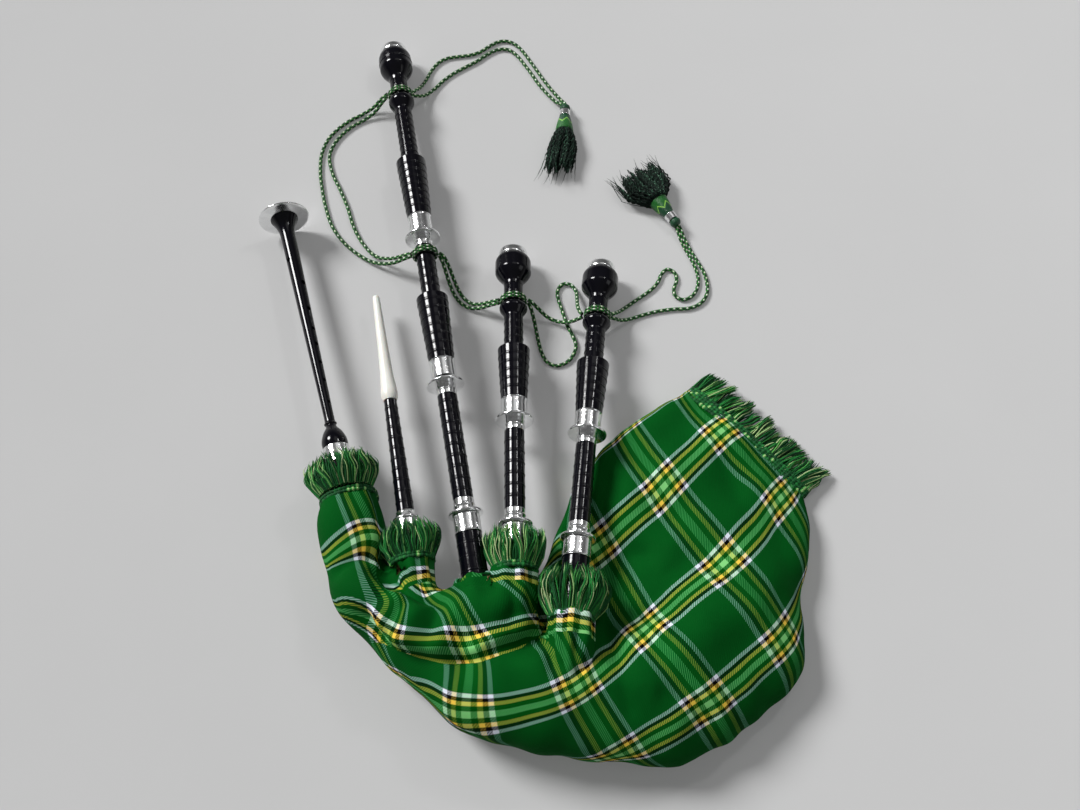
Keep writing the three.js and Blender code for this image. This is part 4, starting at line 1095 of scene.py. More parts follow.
def curve_through(points, step):
    """A smooth line through the points (centripetal Catmull-Rom), at even steps."""
    p = np.asarray(points, float)
    p = np.vstack([2 * p[0] - p[1], p, 2 * p[-1] - p[-2]])
    line = []
    for a, b, c, d in zip(p, p[1:], p[2:], p[3:]):
        t0 = 0.0
        t1 = t0 + np.linalg.norm(b - a) ** 0.5
        t2 = t1 + np.linalg.norm(c - b) ** 0.5
        t3 = t2 + np.linalg.norm(d - c) ** 0.5
        t = np.linspace(t1, t2, CURVE_PARTS, endpoint=False)[:, None]
        a1 = (t1 - t) / (t1 - t0) * a + (t - t0) / (t1 - t0) * b
        a2 = (t2 - t) / (t2 - t1) * b + (t - t1) / (t2 - t1) * c
        a3 = (t3 - t) / (t3 - t2) * c + (t - t2) / (t3 - t2) * d
        b1 = (t2 - t) / (t2 - t0) * a1 + (t - t0) / (t2 - t0) * a2
        b2 = (t3 - t) / (t3 - t1) * a2 + (t - t1) / (t3 - t1) * a3
        line.append((t2 - t) / (t2 - t1) * b1 + (t - t1) / (t2 - t1) * b2)
    line = np.vstack([*line, p[-2:-1]])
    travel = travelled(line)
    count = max(2, round(travel[-1] / step) + 1)
    even = np.linspace(0, travel[-1], count)
    return np.stack([np.interp(even, travel, line[:, k]) for k in range(3)], axis=1)


def cord_tube(name, line):
    verts, faces, uvs = tube_mesh([line], np.full((1, len(line)), CORD_RADIUS), CORD_SIDES)
    obj = make_object(name, verts, faces, uvs)
    cap_ends(obj, CORD_SIDES, len(line))
    paint(obj, MATERIALS["cord_green"])
    return obj


# Routes of the two strands of each stretch, from a loop to the next loop or tassel, in millimetres
TASSEL_ONE_ROUTE = [
    [(-298.6, 692, 25), (-293, 701, 20), (-287, 716, 11), (-281, 735, 4.4), (-275, 752, 2.6),
     (-266, 766, 2.6), (-254, 774.5, 2.6), (-238, 778, 2.6), (-220, 781, 2.6), (-206, 787, 2.6),
     (-194, 797, 2.6), (-181, 805.5, 2.6), (-168, 807, 2.6), (-156, 801, 2.6), (-145, 788, 2.6),
     (-135, 771, 2.6), (-126, 755, 2.6), (-112, 730, 2.6), (-101, 713, 2.6), (-90.6, 697, 4.6),
     (-83.2, 681.8, 9.3)],
    [(-298.6, 687.8, 25), (-291, 692, 19), (-281, 702, 9), (-269, 718, 3.6), (-257, 734, 2.6),
     (-243, 747, 2.6), (-226, 759, 2.6), (-210, 770, 2.6), (-196, 782, 2.6), (-181, 791, 2.6),
     (-166, 791, 2.6), (-154, 781, 2.6), (-144, 766, 2.6), (-135, 751, 2.6), (-121, 726, 2.6),
     (-109.5, 709.5, 2.6), (-97.6, 694, 4.6), (-86.8, 681.8, 9.3)],
]
BASS_ROUTE = [
    [(-331.2, 690, 25), (-340, 688, 18), (-353, 681, 7.6), (-368, 673, 3), (-384, 663, 2.6),
     (-400, 648, 2.6), (-413, 628, 2.6), (-419, 604, 2.6), (-418, 574, 2.6), (-413, 546, 2.6),
     (-406, 518, 2.6), (-395, 488, 2.6), (-379, 464, 2.6), (-357, 443.5, 2.6), (-334, 429, 6),
     (-310, 421.5, 17), (-290, 420.6, 30.5), (-282.7, 420.8, 35)],
    [(-331.2, 685.8, 25), (-339, 681, 18), (-351, 672, 7.6), (-365, 663, 3), (-380, 652.6, 2.6),
     (-393, 639, 2.6), (-403, 622, 2.6), (-408, 602, 2.6), (-402, 574, 2.6), (-389, 546, 2.6),
     (-377, 518, 2.6), (-366, 486, 2.6), (-352, 460, 2.6), (-333, 438.5, 6), (-311, 428.6, 17),
     (-290, 425.6, 30.5), (-282.7, 425, 35)],
]
MIDDLE_ROUTE = [
    [(-247.4, 424.8, 35.5), (-242, 422, 31), (-236, 414, 19), (-231, 404, 8), (-225, 391, 3),
     (-217, 378, 2.6), (-207, 369.5, 4), (-196, 366, 9), (-184, 363.5, 18), (-175, 362, 25),
     (-170.9, 361.5, 27.3)],
    [(-247.4, 420.6, 35.5), (-244, 416, 30), (-240, 407, 18), (-236, 397, 8), (-230, 384, 3),
     (-221, 371, 2.6), (-209, 363, 4), (-196, 360, 9), (-184, 358.8, 18), (-175, 357.6, 25),
     (-170.9, 357.3, 27.3)],
]
TENOR_ROUTE = [
    [(-134.9, 361.5, 27.3), (-130.5, 359.5, 25), (-121, 354, 16), (-111, 348, 8), (-100, 343, 6),
     (-89, 339, 10), (-79, 336.6, 18), (-71, 336.1, 26), (-68, 336.1, 28.6)],
    [(-134.9, 357.3, 27.3), (-132, 353, 24), (-128, 343, 13), (-125, 331, 4.6), (-122, 316, 2.6),
     (-118, 300, 2.6), (-111, 287, 2.6), (-100, 282, 2.6), (-88, 286, 2.6), (-79, 296, 2.6),
     (-75, 310, 2.6), (-79, 324, 2.6), (-85, 337, 2.6), (-89, 350, 2.6), (-93, 364, 2.6),
     (-97, 378, 2.6), (-97, 390, 2.6), (-90, 399, 2.6), (-80, 397, 3.2), (-74, 386, 6),
     (-73, 372, 12), (-73, 358, 20), (-71, 346, 26.6), (-68, 340.3, 28.6)],
]
TASSEL_TWO_ROUTE = [
    [(-34.8, 340.3, 28.6), (-29, 343, 25), (-20, 353, 13), (-9, 365, 5), (4, 376, 2.8),
     (16, 385, 2.6), (26, 394, 2.6), (33, 404, 2.6), (37, 414, 2.6), (45, 421, 2.6),
     (54, 416, 2.6), (56, 404, 2.6), (52, 392, 2.6), (53, 382, 2.6), (62, 376, 2.6),
     (73, 380, 2.6), (81, 391, 2.6), (84, 406, 2.6), (82, 421, 2.6), (77, 436, 2.6),
     (70, 452, 2.6), (64, 467, 5), (59.4, 480.6, 9.3)],
    [(-34.8, 336.1, 28.6), (-28, 337, 24), (-18, 341, 12), (-6, 347, 4.4), (9, 353, 2.6),
     (30, 359, 2.6), (50, 362, 2.6), (70, 363.5, 2.6), (85, 371, 2.6), (93.5, 384, 2.6),
     (95, 400, 2.6), (92, 416, 2.6), (85.5, 431, 2.6), (77.5, 448, 2.6), (69.8, 465, 5),
     (62.9, 482.4, 9.3)],
]


def strand_lines(route):
    return [curve_through(np.array(points) * MM, CORD_STEP) for points in route]


# Loops of cord round the drones: how far they stand off, how far each turn lies from their middle,
# and their thickness. Then the radii of what they lie round, and where two of them lie on the pipe.
LOOP_GAP = 0.9 * MM
LOOP_SHIFT = 2.2 * MM
LOOP_TUBE = 2.1 * MM
LOOP_POINTS = 60
TUBE_RADIUS = 11.6 * MM
NECK_RADIUS = 11.8 * MM
BASS_NECK_PLACE = 625.3 * MM
TENOR_NECK_PLACE = 301.7 * MM


def make_loop(name, pipe, middle, radius, body, *replaced):
    """Two turns of cord that lie side by side round a neck."""
    turns = 2 * np.pi * np.arange(LOOP_POINTS + 1) / LOOP_POINTS
    reach = radius + LOOP_GAP + LOOP_TUBE
    paths = [round_points(reach, turns, middle + shift) for shift in (-LOOP_SHIFT, LOOP_SHIFT)]
    verts, faces, uvs = tube_mesh(paths, np.full((2, LOOP_POINTS + 1), LOOP_TUBE), CORD_SIDES)
    loop = make_object(name, to_world(PIPES[pipe], verts), faces, uvs)
    dress(loop, MATERIALS["cord_green"], body, "cord_green", *replaced)


def loop_middle(node, pipe):
    """Where a loop's node lies along its pipe."""
    heights = node_points(node, PIPES[pipe])[:, 2]
    return float(heights.min() + heights.max()) / 2


def make_loops():
    """Two loops have a node of their own. The other two are one node with a stretch of cord."""
    make_loop("loop_bass_middle", "bass", loop_middle("cord_wrap_bass_middle", "bass"), TUBE_RADIUS,
              "cord_at_bass_middle", "cord_wrap_bass_middle")
    make_loop("loop_tenor_1", "tenor_1", loop_middle("cord_wrap_tenor_1", "tenor_1"), NECK_RADIUS,
              "cord_at_tenor_1", "cord_wrap_tenor_1")
    make_loop("loop_bass_top", "bass", BASS_NECK_PLACE, NECK_RADIUS, "cord_at_bass_top")
    make_loop("loop_tenor_2", "tenor_2", TENOR_NECK_PLACE, NECK_RADIUS, "cord_at_tenor_2")


def make_cords():
    """The bass drone's own stretch curves between its two slides. The other two stretches are cut in
    two halves that meet at their middle."""
    for index, line in enumerate(strand_lines(BASS_ROUTE)):
        strand = cord_tube(f"cord_bass_strand_{index + 1}", line)
        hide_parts("cord_bass_top_to_bass_middle")
        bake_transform(strand)
    halves = {
        "cord_bass_middle_to_tenor_1": (MIDDLE_ROUTE, "cord_at_bass_middle", "cord_at_tenor_1"),
        "cord_tenor_1_to_tenor_2": (TENOR_ROUTE, "cord_at_tenor_1", "cord_at_tenor_2"),
    }
    for node, (route, first_body, last_body) in halves.items():
        for index, line in enumerate(strand_lines(route)):
            middle = len(line) // 2
            parts = {"a": (line[:middle + 1], first_body, line[0]),
                     "b": (line[middle:], last_body, line[-1])}
            for part, (piece, body, moving) in parts.items():
                strand = cord_tube(f"{node}_strand_{index + 1}{part}", piece)
                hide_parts(node)
                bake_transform(strand)


# Tassels

# How far a tassel starts beyond the end of its cord's route, and how far the cord goes on into it
TASSEL_GAP = 1.4 * MM
TASSEL_SINK = 43 * MM

# Each tassel: its cord's route, its heading in degrees, the length, spread and drift of its skirt,
# its body and its cord's node
TASSEL_PLACES = {
    "tassel_1": (
        TASSEL_ONE_ROUTE, 268, (76 * MM, 20 * MM, -7 * MM),
        "cord_at_bass_top", "cord_bass_top_to_tassel_1",
    ),
    "tassel_2": (
        TASSEL_TWO_ROUTE, 122, (64 * MM, 35 * MM, 0.0),
        "cord_at_tenor_2", "cord_tenor_2_to_tassel_2",
    ),
}

# The knob, the silver collar and the wound head, with outlines as shares of length and radius
KNOB_LENGTH = 9.5 * MM
KNOB_RADIUS = 7.4 * MM
KNOB_SHARES = [(0, 0), (0.02, 0.55), (0.16, 0.86), (0.5, 1), (0.84, 0.9), (0.98, 0.7), (1, 0)]
HEAD_SHARES = [(0, 0), (0, 0.56), (0.3, 0.74), (0.65, 0.9), (1, 1), (1.07, 0.92), (1.07, 0)]
KNOB_SIDES = 32
COLLAR_RADIUS = 7.3 * MM
COLLAR_FLARE = 0.5 * MM
COLLAR_LENGTH = 9.5 * MM
COLLAR_SIDES = 40
HEAD_LENGTH = 25 * MM
HEAD_RADIUS = 12.5 * MM
HEAD_SIDES = 48

# The skirt: its reach to each side, how fast it opens and how flat it lies. A pair of numbers here
# and below is a first value and how much more it can be.
SKIRT_RADIUS = 16 * MM
SKIRT_HEIGHT_SHARE = 1.15
SKIRT_START_SHARE = 0.85
SKIRT_OPENING = 2.2
SKIRT_POWER = 0.7
SKIRT_FLAT_SHARE = 0.52
SKIRT_FLATTENING = 2
SKIRT_TUCK_SHARE = 0.22
SKIRT_POINTS = 34
SKIRT_TONE_SHARE = 0.75
DRIFT_POWER = 1.5

# Its strands and the clumps they gather in, then those that stray
SKIRT_STRANDS = 260
SKIRT_CLUMPS = 24
CLUMP_SHARE = 0.66
CLUMP_POWER = 2.5
CLUMP_REACH = (0.86, 0.14)
STRAND_REACH = (0.9, 0.08)
STRAND_THICKNESS = 1.75
STRAND_TIP = (3.5, 1.05)
STRAY_SHARE = 0.12
STRAY_DEPTH_SHARE = 0.6
STRAY_REACH = 1.1
STRAY_SPREAD = (1, 0.25)
STRAY_LEAN = 22 * MM
STRAY_POWER = 3
STRAY_CRIMP = (1, -0.8)
STRAY_THICKNESS = 0.9

# The crimp of the yarn: its size, its waves, how fast it sets in, its fall towards the tips, and
# how much of it is left up and down
CRIMP = 1.5 * MM
CRIMP_WAVES = (6, 3)
CRIMP_RISE = 4
CRIMP_FALL = (1.15, -0.7)
CRIMP_UPRIGHT_SHARE = 0.6


def make_tassel(name, route, heading, skirt_sizes, body, cord_node):
    """A knob, a silver collar, a wound head and a skirt, with the two strands that run into them."""

    def turned_part(part, outline, sides, material, slot):
        piece = lathe(f"{name}_{part}", softened(outline), place, sides, False)
        return dress(piece, MATERIALS[material], body, slot, name)

    turn = math.radians(heading)
    along = Vector((math.cos(turn), math.sin(turn), 0))
    ends = [Vector(points[-1]) * MM for points in route]
    origin = (ends[0] + ends[1]) / 2 + along * TASSEL_GAP
    origin.z = HEAD_RADIUS
    place = placed(origin, along)
    collar = KNOB_LENGTH
    head = collar + COLLAR_LENGTH
    skirt = head + HEAD_LENGTH
    knob_outline = [(share * KNOB_LENGTH, reach * KNOB_RADIUS) for share, reach in KNOB_SHARES]
    collar_outline = [(collar, 0), (collar, COLLAR_RADIUS), (head, COLLAR_RADIUS + COLLAR_FLARE),
                      (head, 0)]
    head_outline = [(head + share * HEAD_LENGTH, reach * HEAD_RADIUS) for share, reach in HEAD_SHARES]
    pieces = [
        turned_part("knob", knob_outline, KNOB_SIDES, "tassel_satin", "cord_green"),
        turned_part("ring", collar_outline, COLLAR_SIDES, "silver_metal", "silver_metal"),
        turned_part("head", head_outline, HEAD_SIDES, "tassel_satin", "cord_green"),
    ]
    yarns = make_skirt(f"{name}_skirt", place, skirt, *skirt_sizes)
    pieces.append(dress(yarns, MATERIALS["tassel_yarn"], body, "fringe_yarn", name))
    for index, points in enumerate(route):
        inside = Vector(points[-1]) + along * (TASSEL_GAP + TASSEL_SINK) / MM
        inside.z = origin.z / MM
        line = curve_through(np.array([*points, tuple(inside)]) * MM, CORD_STEP)
        strand = cord_tube(f"{cord_node}_strand_{index + 1}", line)
        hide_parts(cord_node)
        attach(strand, body)


def tip_share(tip, t):
    """The thickness of a strand as a share: full, then less at the tip's rate towards its end."""
    rate, end = tip
    return np.minimum(1, rate * (end - t))


def make_skirt(name, place, foot, full_length, tip_radius, drift):
    """Crimped strands that hang from the head of a tassel and lie on the table in pointed clumps.

    The order of the random draws makes the skirt's shape, so it stays as it is.
    """
    rng = np.random.default_rng(sum(map(ord, name)))

    def draw():
        return rng.random((SKIRT_STRANDS, 1))

    # Where each strand starts in the head, and the clump whose middle is nearest
    t = np.linspace(0, 1, SKIRT_POINTS)[None, :]
    depth = np.sqrt(draw())
    angle = draw() * 2 * np.pi
    x0, y0 = depth * np.cos(angle), depth * np.sin(angle)
    centre_depth = np.sqrt(rng.random(SKIRT_CLUMPS))
    centre_angle = rng.random(SKIRT_CLUMPS) * 2 * np.pi
    centre_x, centre_y = centre_depth * np.cos(centre_angle), centre_depth * np.sin(centre_angle)
    nearest = ((x0 - centre_x) ** 2 + (y0 - centre_y) ** 2).argmin(axis=1)
    stray = (draw() < STRAY_SHARE) & (depth > STRAY_DEPTH_SHARE)
    pull = CLUMP_SHARE * t ** CLUMP_POWER * ~stray
    x = x0 + (centre_x[nearest][:, None] - x0) * pull
    y = y0 + (centre_y[nearest][:, None] - y0) * pull
    # How long the strands are, and how wide and flat they lie
    reach = vary(CLUMP_REACH, rng.random(SKIRT_CLUMPS))[nearest][:, None]
    reach = reach * vary(STRAND_REACH, draw())
    length = full_length * np.where(stray, STRAY_REACH, reach)
    start = HEAD_RADIUS * SKIRT_START_SHARE
    end = tip_radius * vary(STRAY_SPREAD, stray)
    width = start + (end - start) * np.minimum(1, SKIRT_OPENING * t) ** SKIRT_POWER
    flat = 1 - (1 - SKIRT_FLAT_SHARE) * np.minimum(1, SKIRT_FLATTENING * t)
    # The crimp of the yarn, less of it in the strays
    phase = draw() * 2 * np.pi
    wave = 2 * np.pi * vary(CRIMP_WAVES, draw()) * t + phase
    crimp = CRIMP * np.minimum(1, CRIMP_RISE * t) * vary(STRAY_CRIMP, stray) * vary(CRIMP_FALL, t)
    lean = STRAY_LEAN * stray * (draw() - 0.5)
    across = x * width + crimp * np.cos(wave) + drift * t ** DRIFT_POWER + lean * t ** STRAY_POWER
    upright = y * np.minimum(width, SKIRT_HEIGHT_SHARE * SKIRT_RADIUS) * flat
    upright = upright + crimp * CRIMP_UPRIGHT_SHARE * np.sin(wave)
    beyond = np.maximum(np.abs(x) * width - SKIRT_RADIUS, 0)
    along = foot + length * t - SKIRT_TUCK_SHARE * beyond
    paths = to_world(place, np.stack([across, upright, along], axis=-1).reshape(-1, 3))
    paths = paths.reshape(SKIRT_STRANDS, SKIRT_POINTS, 3)
    paths[..., 2] = np.maximum(paths[..., 2], YARN_RADIUS)
    thickness = np.where(stray, STRAY_THICKNESS, STRAND_THICKNESS)
    radii = thickness * YARN_RADIUS * tip_share(STRAND_TIP, t)
    verts, faces, uvs = tube_mesh(paths, radii, YARN_SIDES)
    tones = SKIRT_TONE_SHARE * rng.random(SKIRT_STRANDS)
    tints = np.repeat(tones, SKIRT_POINTS * YARN_SIDES)
    return make_object(name, verts, faces, uvs, tints)


# Cover

def smooth_rows(rows, steps):
    """Catmull-Rom rows between the given ones."""
    rows = np.asarray(rows, float)
    padded = np.vstack([2 * rows[0] - rows[1], rows, 2 * rows[-1] - rows[-2]])
    out = []
    for a, b, c, d in zip(padded, padded[1:], padded[2:], padded[3:]):
        for k in range(steps):
            t = k / steps
            out.append(0.5 * (2 * b + (c - a) * t + (2 * a - 5 * b + 4 * c - d) * t ** 2
                              + (3 * b - a - 3 * c + d) * t ** 3))
    out.append(rows[-1])
    return np.array(out)


def section_edges(shares):
    """The outer and inner edge of a cross-section in plan, and its height."""
    outer = np.array([shares[0] * BAG_LENGTH, shares[1] * BAG_WIDTH])
    inner = np.array([shares[2] * BAG_LENGTH, shares[3] * BAG_WIDTH])
    return outer, inner, shares[4] * BAG_HEIGHT


def dome(share):
    """How high a cross-section's arch stands at a share of its width."""
    return (1 - np.abs(2 * share - 1) ** DOME_POWER) ** (1 / DOME_POWER)


def section_loop(shares):
    """A cross-section as a closed line: over the top from the outer edge, and back below."""
    outer, inner, height = section_edges(shares)
    u = (1 - np.cos(np.pi * np.arange(SECTION_STATIONS + 1) / SECTION_STATIONS)) / 2
    arch = dome(u)
    half = SHELF_SPAN_SHARE / 2
    shelf = 1 - (1 - shares[5]) * smoothstep(u, shares[6] - half, shares[6] + half)
    edge = EDGE_SHARE * height * shelf
    plan = outer + u[:, None] * (inner - outer)
    top = np.column_stack([plan, edge + (height * shelf - edge) * arch])
    sunk = np.maximum(edge * (1 - UNDERSIDE_SHARE * arch), 0)
    under = np.column_stack([plan, np.minimum(edge, sunk)])
    return np.vstack([top, under[1:-1][::-1]])


def body_mesh():
    """The bag's body as a closed loft."""
    loops = [section_loop(row) for row in smooth_rows(SECTION_SHARES, ROW_STEPS)]
    count = len(loops[0])
    faces = []
    for s in range(len(loops) - 1):
        for i in range(count):
            j = (i + 1) % count
            faces.append((s * count + i, s * count + j, (s + 1) * count + j, (s + 1) * count + i))
    faces.append(tuple(range(count)))
    faces.append(tuple(range((len(loops) - 1) * count, len(loops) * count))[::-1])
    return np.vstack(loops), faces


def cover_base():
    """The bag's body and its sleeves as one closed skin of even faces."""
    verts, faces = body_mesh()
    body = make_object("bag_cover_cloth", verts, faces)
    whole = bmesh.new()
    whole.from_mesh(body.data)
    foot = -STOCK_LENGTH - SLEEVE_TAPER
    for pipe, end in SLEEVE_ENDS.items():
        outline = [(foot, 0), (foot, SLEEVE_RADIUS / 4),
                   (-STOCK_LENGTH - SLEEVE_TAPER / 2, SLEEVE_RADIUS * 3 / 4),
                   (-STOCK_LENGTH, SLEEVE_RADIUS), (end, SLEEVE_RADIUS), (end, 0)]
        sleeve = lathe("sleeve", outline, PIPES[pipe], SLEEVE_SIDES, False)
        whole.from_mesh(sleeve.data)
        bpy.data.objects.remove(sleeve)
    bmesh.ops.recalc_face_normals(whole, faces=whole.faces)
    whole.to_mesh(body.data)
    whole.free()
    remesh = body.modifiers.new("remesh", "REMESH")
    remesh.mode = "VOXEL"
    remesh.voxel_size = VOXEL
    relax = body.modifiers.new("relax", "SMOOTH")
    relax.factor = RELAX_SHARE
    relax.iterations = RELAX_PASSES
    bake(body)
    return body


def read_points(mesh):
    """The places and the normals of a mesh's vertices."""
    co = np.empty(len(mesh.vertices) * 3, np.float32)
    normal = np.empty_like(co)
    mesh.vertices.foreach_get("co", co)
    mesh.vertices.foreach_get("normal", normal)
    return co.reshape(-1, 3).astype(float), normal.reshape(-1, 3).astype(float)


def write_points(mesh, co):
    mesh.vertices.foreach_set("co", co.astype(np.float32).ravel())
    mesh.update()


def line_distance(xy, line):
    """Distance from a broken line in plan, above 0 on its left, and the share of the line passed."""
    line = np.asarray(line, float)
    spans = np.linalg.norm(np.diff(line, axis=0), axis=1)
    passed = travelled(line) / spans.sum()
    best = np.full(len(xy), np.inf)
    side = np.ones(len(xy))
    share = np.zeros(len(xy))
    for i, (a, b) in enumerate(zip(line, line[1:])):
        t = np.clip(((xy - a) @ (b - a)) / (spans[i] ** 2), 0, 1)
        away = np.linalg.norm(xy - (a + t[:, None] * (b - a)), axis=1)
        turn = (b[0] - a[0]) * (xy[:, 1] - a[1]) - (b[1] - a[1]) * (xy[:, 0] - a[0])
        nearer = away < best - TIE
        best[nearer] = away[nearer]
        side[nearer] = np.where(turn[nearer] >= 0, 1.0, -1.0)
        share[nearer] = (passed[i] + t * (passed[i + 1] - passed[i]))[nearer]
    return best * side, share


def to_plan(line):
    """A line in millimetres as points in metres at no height."""
    return np.column_stack([np.array(line, float) * MM, np.zeros(len(line))])


def add_folds(lift, xy, upper):
    """A crease along each fold's line, and a ridge on its left."""
    for line, depth, left, right, swell in FOLDS:
        away, share = line_distance(xy, curve_through(to_plan(line), FOLD_STEP)[:, :2])
        fade = smoothstep(share, 0.0, FOLD_FADE_SHARE) * smoothstep(1 - share, 0.0, FOLD_FADE_SHARE)
        reach = np.where(away > 0, left, right) * MM
        ridge = np.exp(-((away - RIDGE_PLACE * left * MM) / (RIDGE_WIDTH * left * MM)) ** 2)
        crease = np.exp(-np.abs(away / reach) ** FOLD_POWER)
        lift += (swell * ridge - depth * crease) * MM * fade * upper


def add_swellings(lift, xy, upper):
    for centre, radius, height in SWELLINGS:
        away = np.linalg.norm(xy - np.array(centre) * MM, axis=1)
        lift += height * MM * np.exp(-(away / (radius * MM)) ** 2) * upper


def add_waves(lift, xy):
    """Small waves in all directions, with bent crests."""
    rng = np.random.default_rng(WAVE_SEED)
    for _ in range(WAVE_COUNT):
        heading = rng.random() * 2 * np.pi
        wavelength = vary(WAVE_LENGTHS, rng.random()) * MM
        height = vary(WAVE_HEIGHTS, rng.random()) * MM * wavelength / WAVE_MIDDLE
        bend = WAVE_BEND * np.sin(2 * np.pi * (xy[:, 0] * BEND_RATE + rng.random()) / BEND_SPAN)
        across = xy[:, 0] * math.cos(heading) + xy[:, 1] * math.sin(heading)
        travel = across + bend * rng.random()
        lift += height * np.sin(2 * np.pi * (travel / wavelength + rng.random()))


def add_pleats(lift, co):
    """Gathers that run out from the mouths of the sleeves."""
    for pipe, count in PLEATS.items():
        local = to_local(PIPES[pipe], co)
        angle = np.arctan2(local[:, 1], local[:, 0])
        end = SLEEVE_ENDS[pipe]
        near = smoothstep(local[:, 2], end - PLEAT_START, end - PLEAT_FULL)
        near = near * smoothstep(-axis_distance(local), -PLEAT_FAR, -PLEAT_NEAR)
        lift += PLEAT_HEIGHT * near * np.cos(count * angle + PLEAT_SWAY * np.sin(angle) + count)


def fold_cloth(co, normal):
    """Moves the cloth along its normals, but not where it lies on the table."""
    lift = np.zeros(len(co))
    upper = smoothstep(normal[:, 2], UPPER_FROM, UPPER_FULL)
    add_folds(lift, co[:, :2], upper)
    add_swellings(lift, co[:, :2], upper)
    add_waves(lift, co[:, :2])
    add_pleats(lift, co)
    free = smoothstep(co[:, 2], STILL_HEIGHT, FREE_HEIGHT)
    return keep_clear(co + normal * (lift * free)[:, None])


def keep_clear(co):
    """Pushes the cloth out of the stocks, where a fold has taken it too deep."""
    for pipe in SLEEVE_ENDS:
        local = to_local(PIPES[pipe], co)
        radius = axis_distance(local)
        beside = (local[:, 2] > -STOCK_LENGTH) & (radius < STOCK_CLEAR) & (radius > STOCK_CLEAR / 3)
        local[beside, :2] *= (STOCK_CLEAR / radius[beside])[:, None]
        co = to_world(PIPES[pipe], local)
    return co


def tuck_skin(co):
    """Ends the bag's own skin below the mouths of the cover."""
    for pipe, end in MOUTHS.items():
        local = to_local(PIPES[pipe], co)
        near = axis_distance(local) < (NECK_HALF_WIDTH if pipe == "chanter" else SLEEVE_RADIUS)
        local[near, 2] = np.minimum(local[near, 2], end - SKIN_REACH)
        co = to_world(PIPES[pipe], local)
    return co


def keep_inside(co, cover):
    """Brings the skin's points in below the cloth, wherever they come near it or through it."""
    tree = BVHTree.FromPolygons([v.co for v in cover.vertices], [p.vertices for p in cover.polygons])
    for index, point in enumerate(co):
        hit, normal, _, _ = tree.find_nearest(point)
        if (Vector(point) - hit).dot(normal) > -SKIN_LEAST:
            co[index] = hit - normal * SKIN_LEAST
    return co


def thin_plate(pairs):
    """A smooth map in plan that takes each place, in millimetres, to its pair of values."""
    places = np.array([p for p, _ in pairs]) / PLATE_UNIT
    values = np.array([v for _, v in pairs], float)
    count = len(places)

    def kernel(a, b):
        square = ((a[:, None] - b[None]) ** 2).sum(-1)
        return square * np.log(square + TINY)

    system = np.zeros((count + 3, count + 3))
    system[:count, :count] = kernel(places, places) + PLATE_SLACK * np.eye(count)
    system[:count, count:] = np.column_stack([np.ones(count), places])
    system[count:, :count] = system[:count, count:].T
    weights = np.linalg.solve(system, np.vstack([values, np.zeros((3, 2))]))

    def apply(xy):
        xy = xy / MM / PLATE_UNIT
        even = np.column_stack([np.ones(len(xy)), xy])
        return kernel(xy, places) @ weights[:count] + even @ weights[count:]

    return apply


def face_corners(mesh):
    """The vertex at each face corner, and the number of corners of each face."""
    loops = np.empty(len(mesh.loops), np.int32)
    mesh.loops.foreach_get("vertex_index", loops)
    totals = np.empty(len(mesh.polygons), np.int32)
    mesh.polygons.foreach_get("loop_total", totals)
    return loops, totals


def map_sleeves(plan, loops, totals):
    """The check round the sleeves: its place at each face corner, and how far in each vertex lies."""
    starts = np.concatenate([[0], np.cumsum(totals)[:-1]])
    centres = np.add.reduceat(plan[loops], starts) / totals[:, None]
    places = np.zeros((len(loops), 2))
    on_sleeve = np.full(len(plan), -1.0)
    for pipe, (shown, turn, fall) in SLEEVE_MAPS.items():
        end = SLEEVE_ENDS[pipe]
        local = to_local(PIPES[pipe], plan)
        middle = to_local(PIPES[pipe], centres)
        slack = SLEEVE_RADIUS + MAP_SLACK - axis_distance(local)
        inside = np.minimum.reduce([local[:, 2] - end + shown, slack, end + MAP_PAST - local[:, 2]])
        on_sleeve = np.maximum(on_sleeve, inside)
        near = (np.abs(middle[:, 2] - end) < MAP_SPAN) & (axis_distance(middle) < MAP_RADIUS)
        # Each face is laid out from its own middle, so that none spans the seam
        angle = np.arctan2(local[:, 0], local[:, 1])[loops]
        of_face = np.repeat(np.arctan2(middle[:, 0], middle[:, 1]), totals)
        angle = of_face + (angle - of_face + np.pi) % (2 * np.pi) - np.pi
        column = (turn - angle) * SLEEVE_RADIUS / COLUMN_PERIOD - COLUMN_HALF_BAND
        row = (local[loops, 2] - end + fall) / ROW_PERIOD + ROW_HALF_BAND
        mine = np.repeat(near, totals)
        places[mine] = np.column_stack([column, row])[mine]
    return places, on_sleeve


def map_cloth(mesh, plan, normal):
    drop = np.clip(CLOTH_LEVEL - plan[:, 2], 0, None)
    spread = plan[:, :2] + normal[:, :2] * drop[:, None]
    loops, totals = face_corners(mesh)
    round_sleeve, on_sleeve = map_sleeves(plan, loops, totals)
    put_map(mesh, "surface", thin_plate(GRID_BELOW)(spread)[loops])
    put_map(mesh, "above", thin_plate(GRID_ABOVE)(spread)[loops])
    put_map(mesh, "sleeve", round_sleeve)
    put_number(mesh, "on_sleeve", on_sleeve)
    above_crease, _ = line_distance(plan[:, :2], np.array(PANEL_LINE) * MM)
    put_number(mesh, "above_crease", above_crease)


def open_sleeves(cover):
    """Cuts the mouths of the sleeves and of the neck."""
    tools = []
    for pipe, end in MOUTHS.items():
        outline = rod_outline(end - HOLE_DEPTH, end + HOLE_DEPTH, HOLE_RADIUS)
        tools.append(lathe("hole", outline, PIPES[pipe], SLEEVE_SIDES, False))
    cut_with(cover, tools)


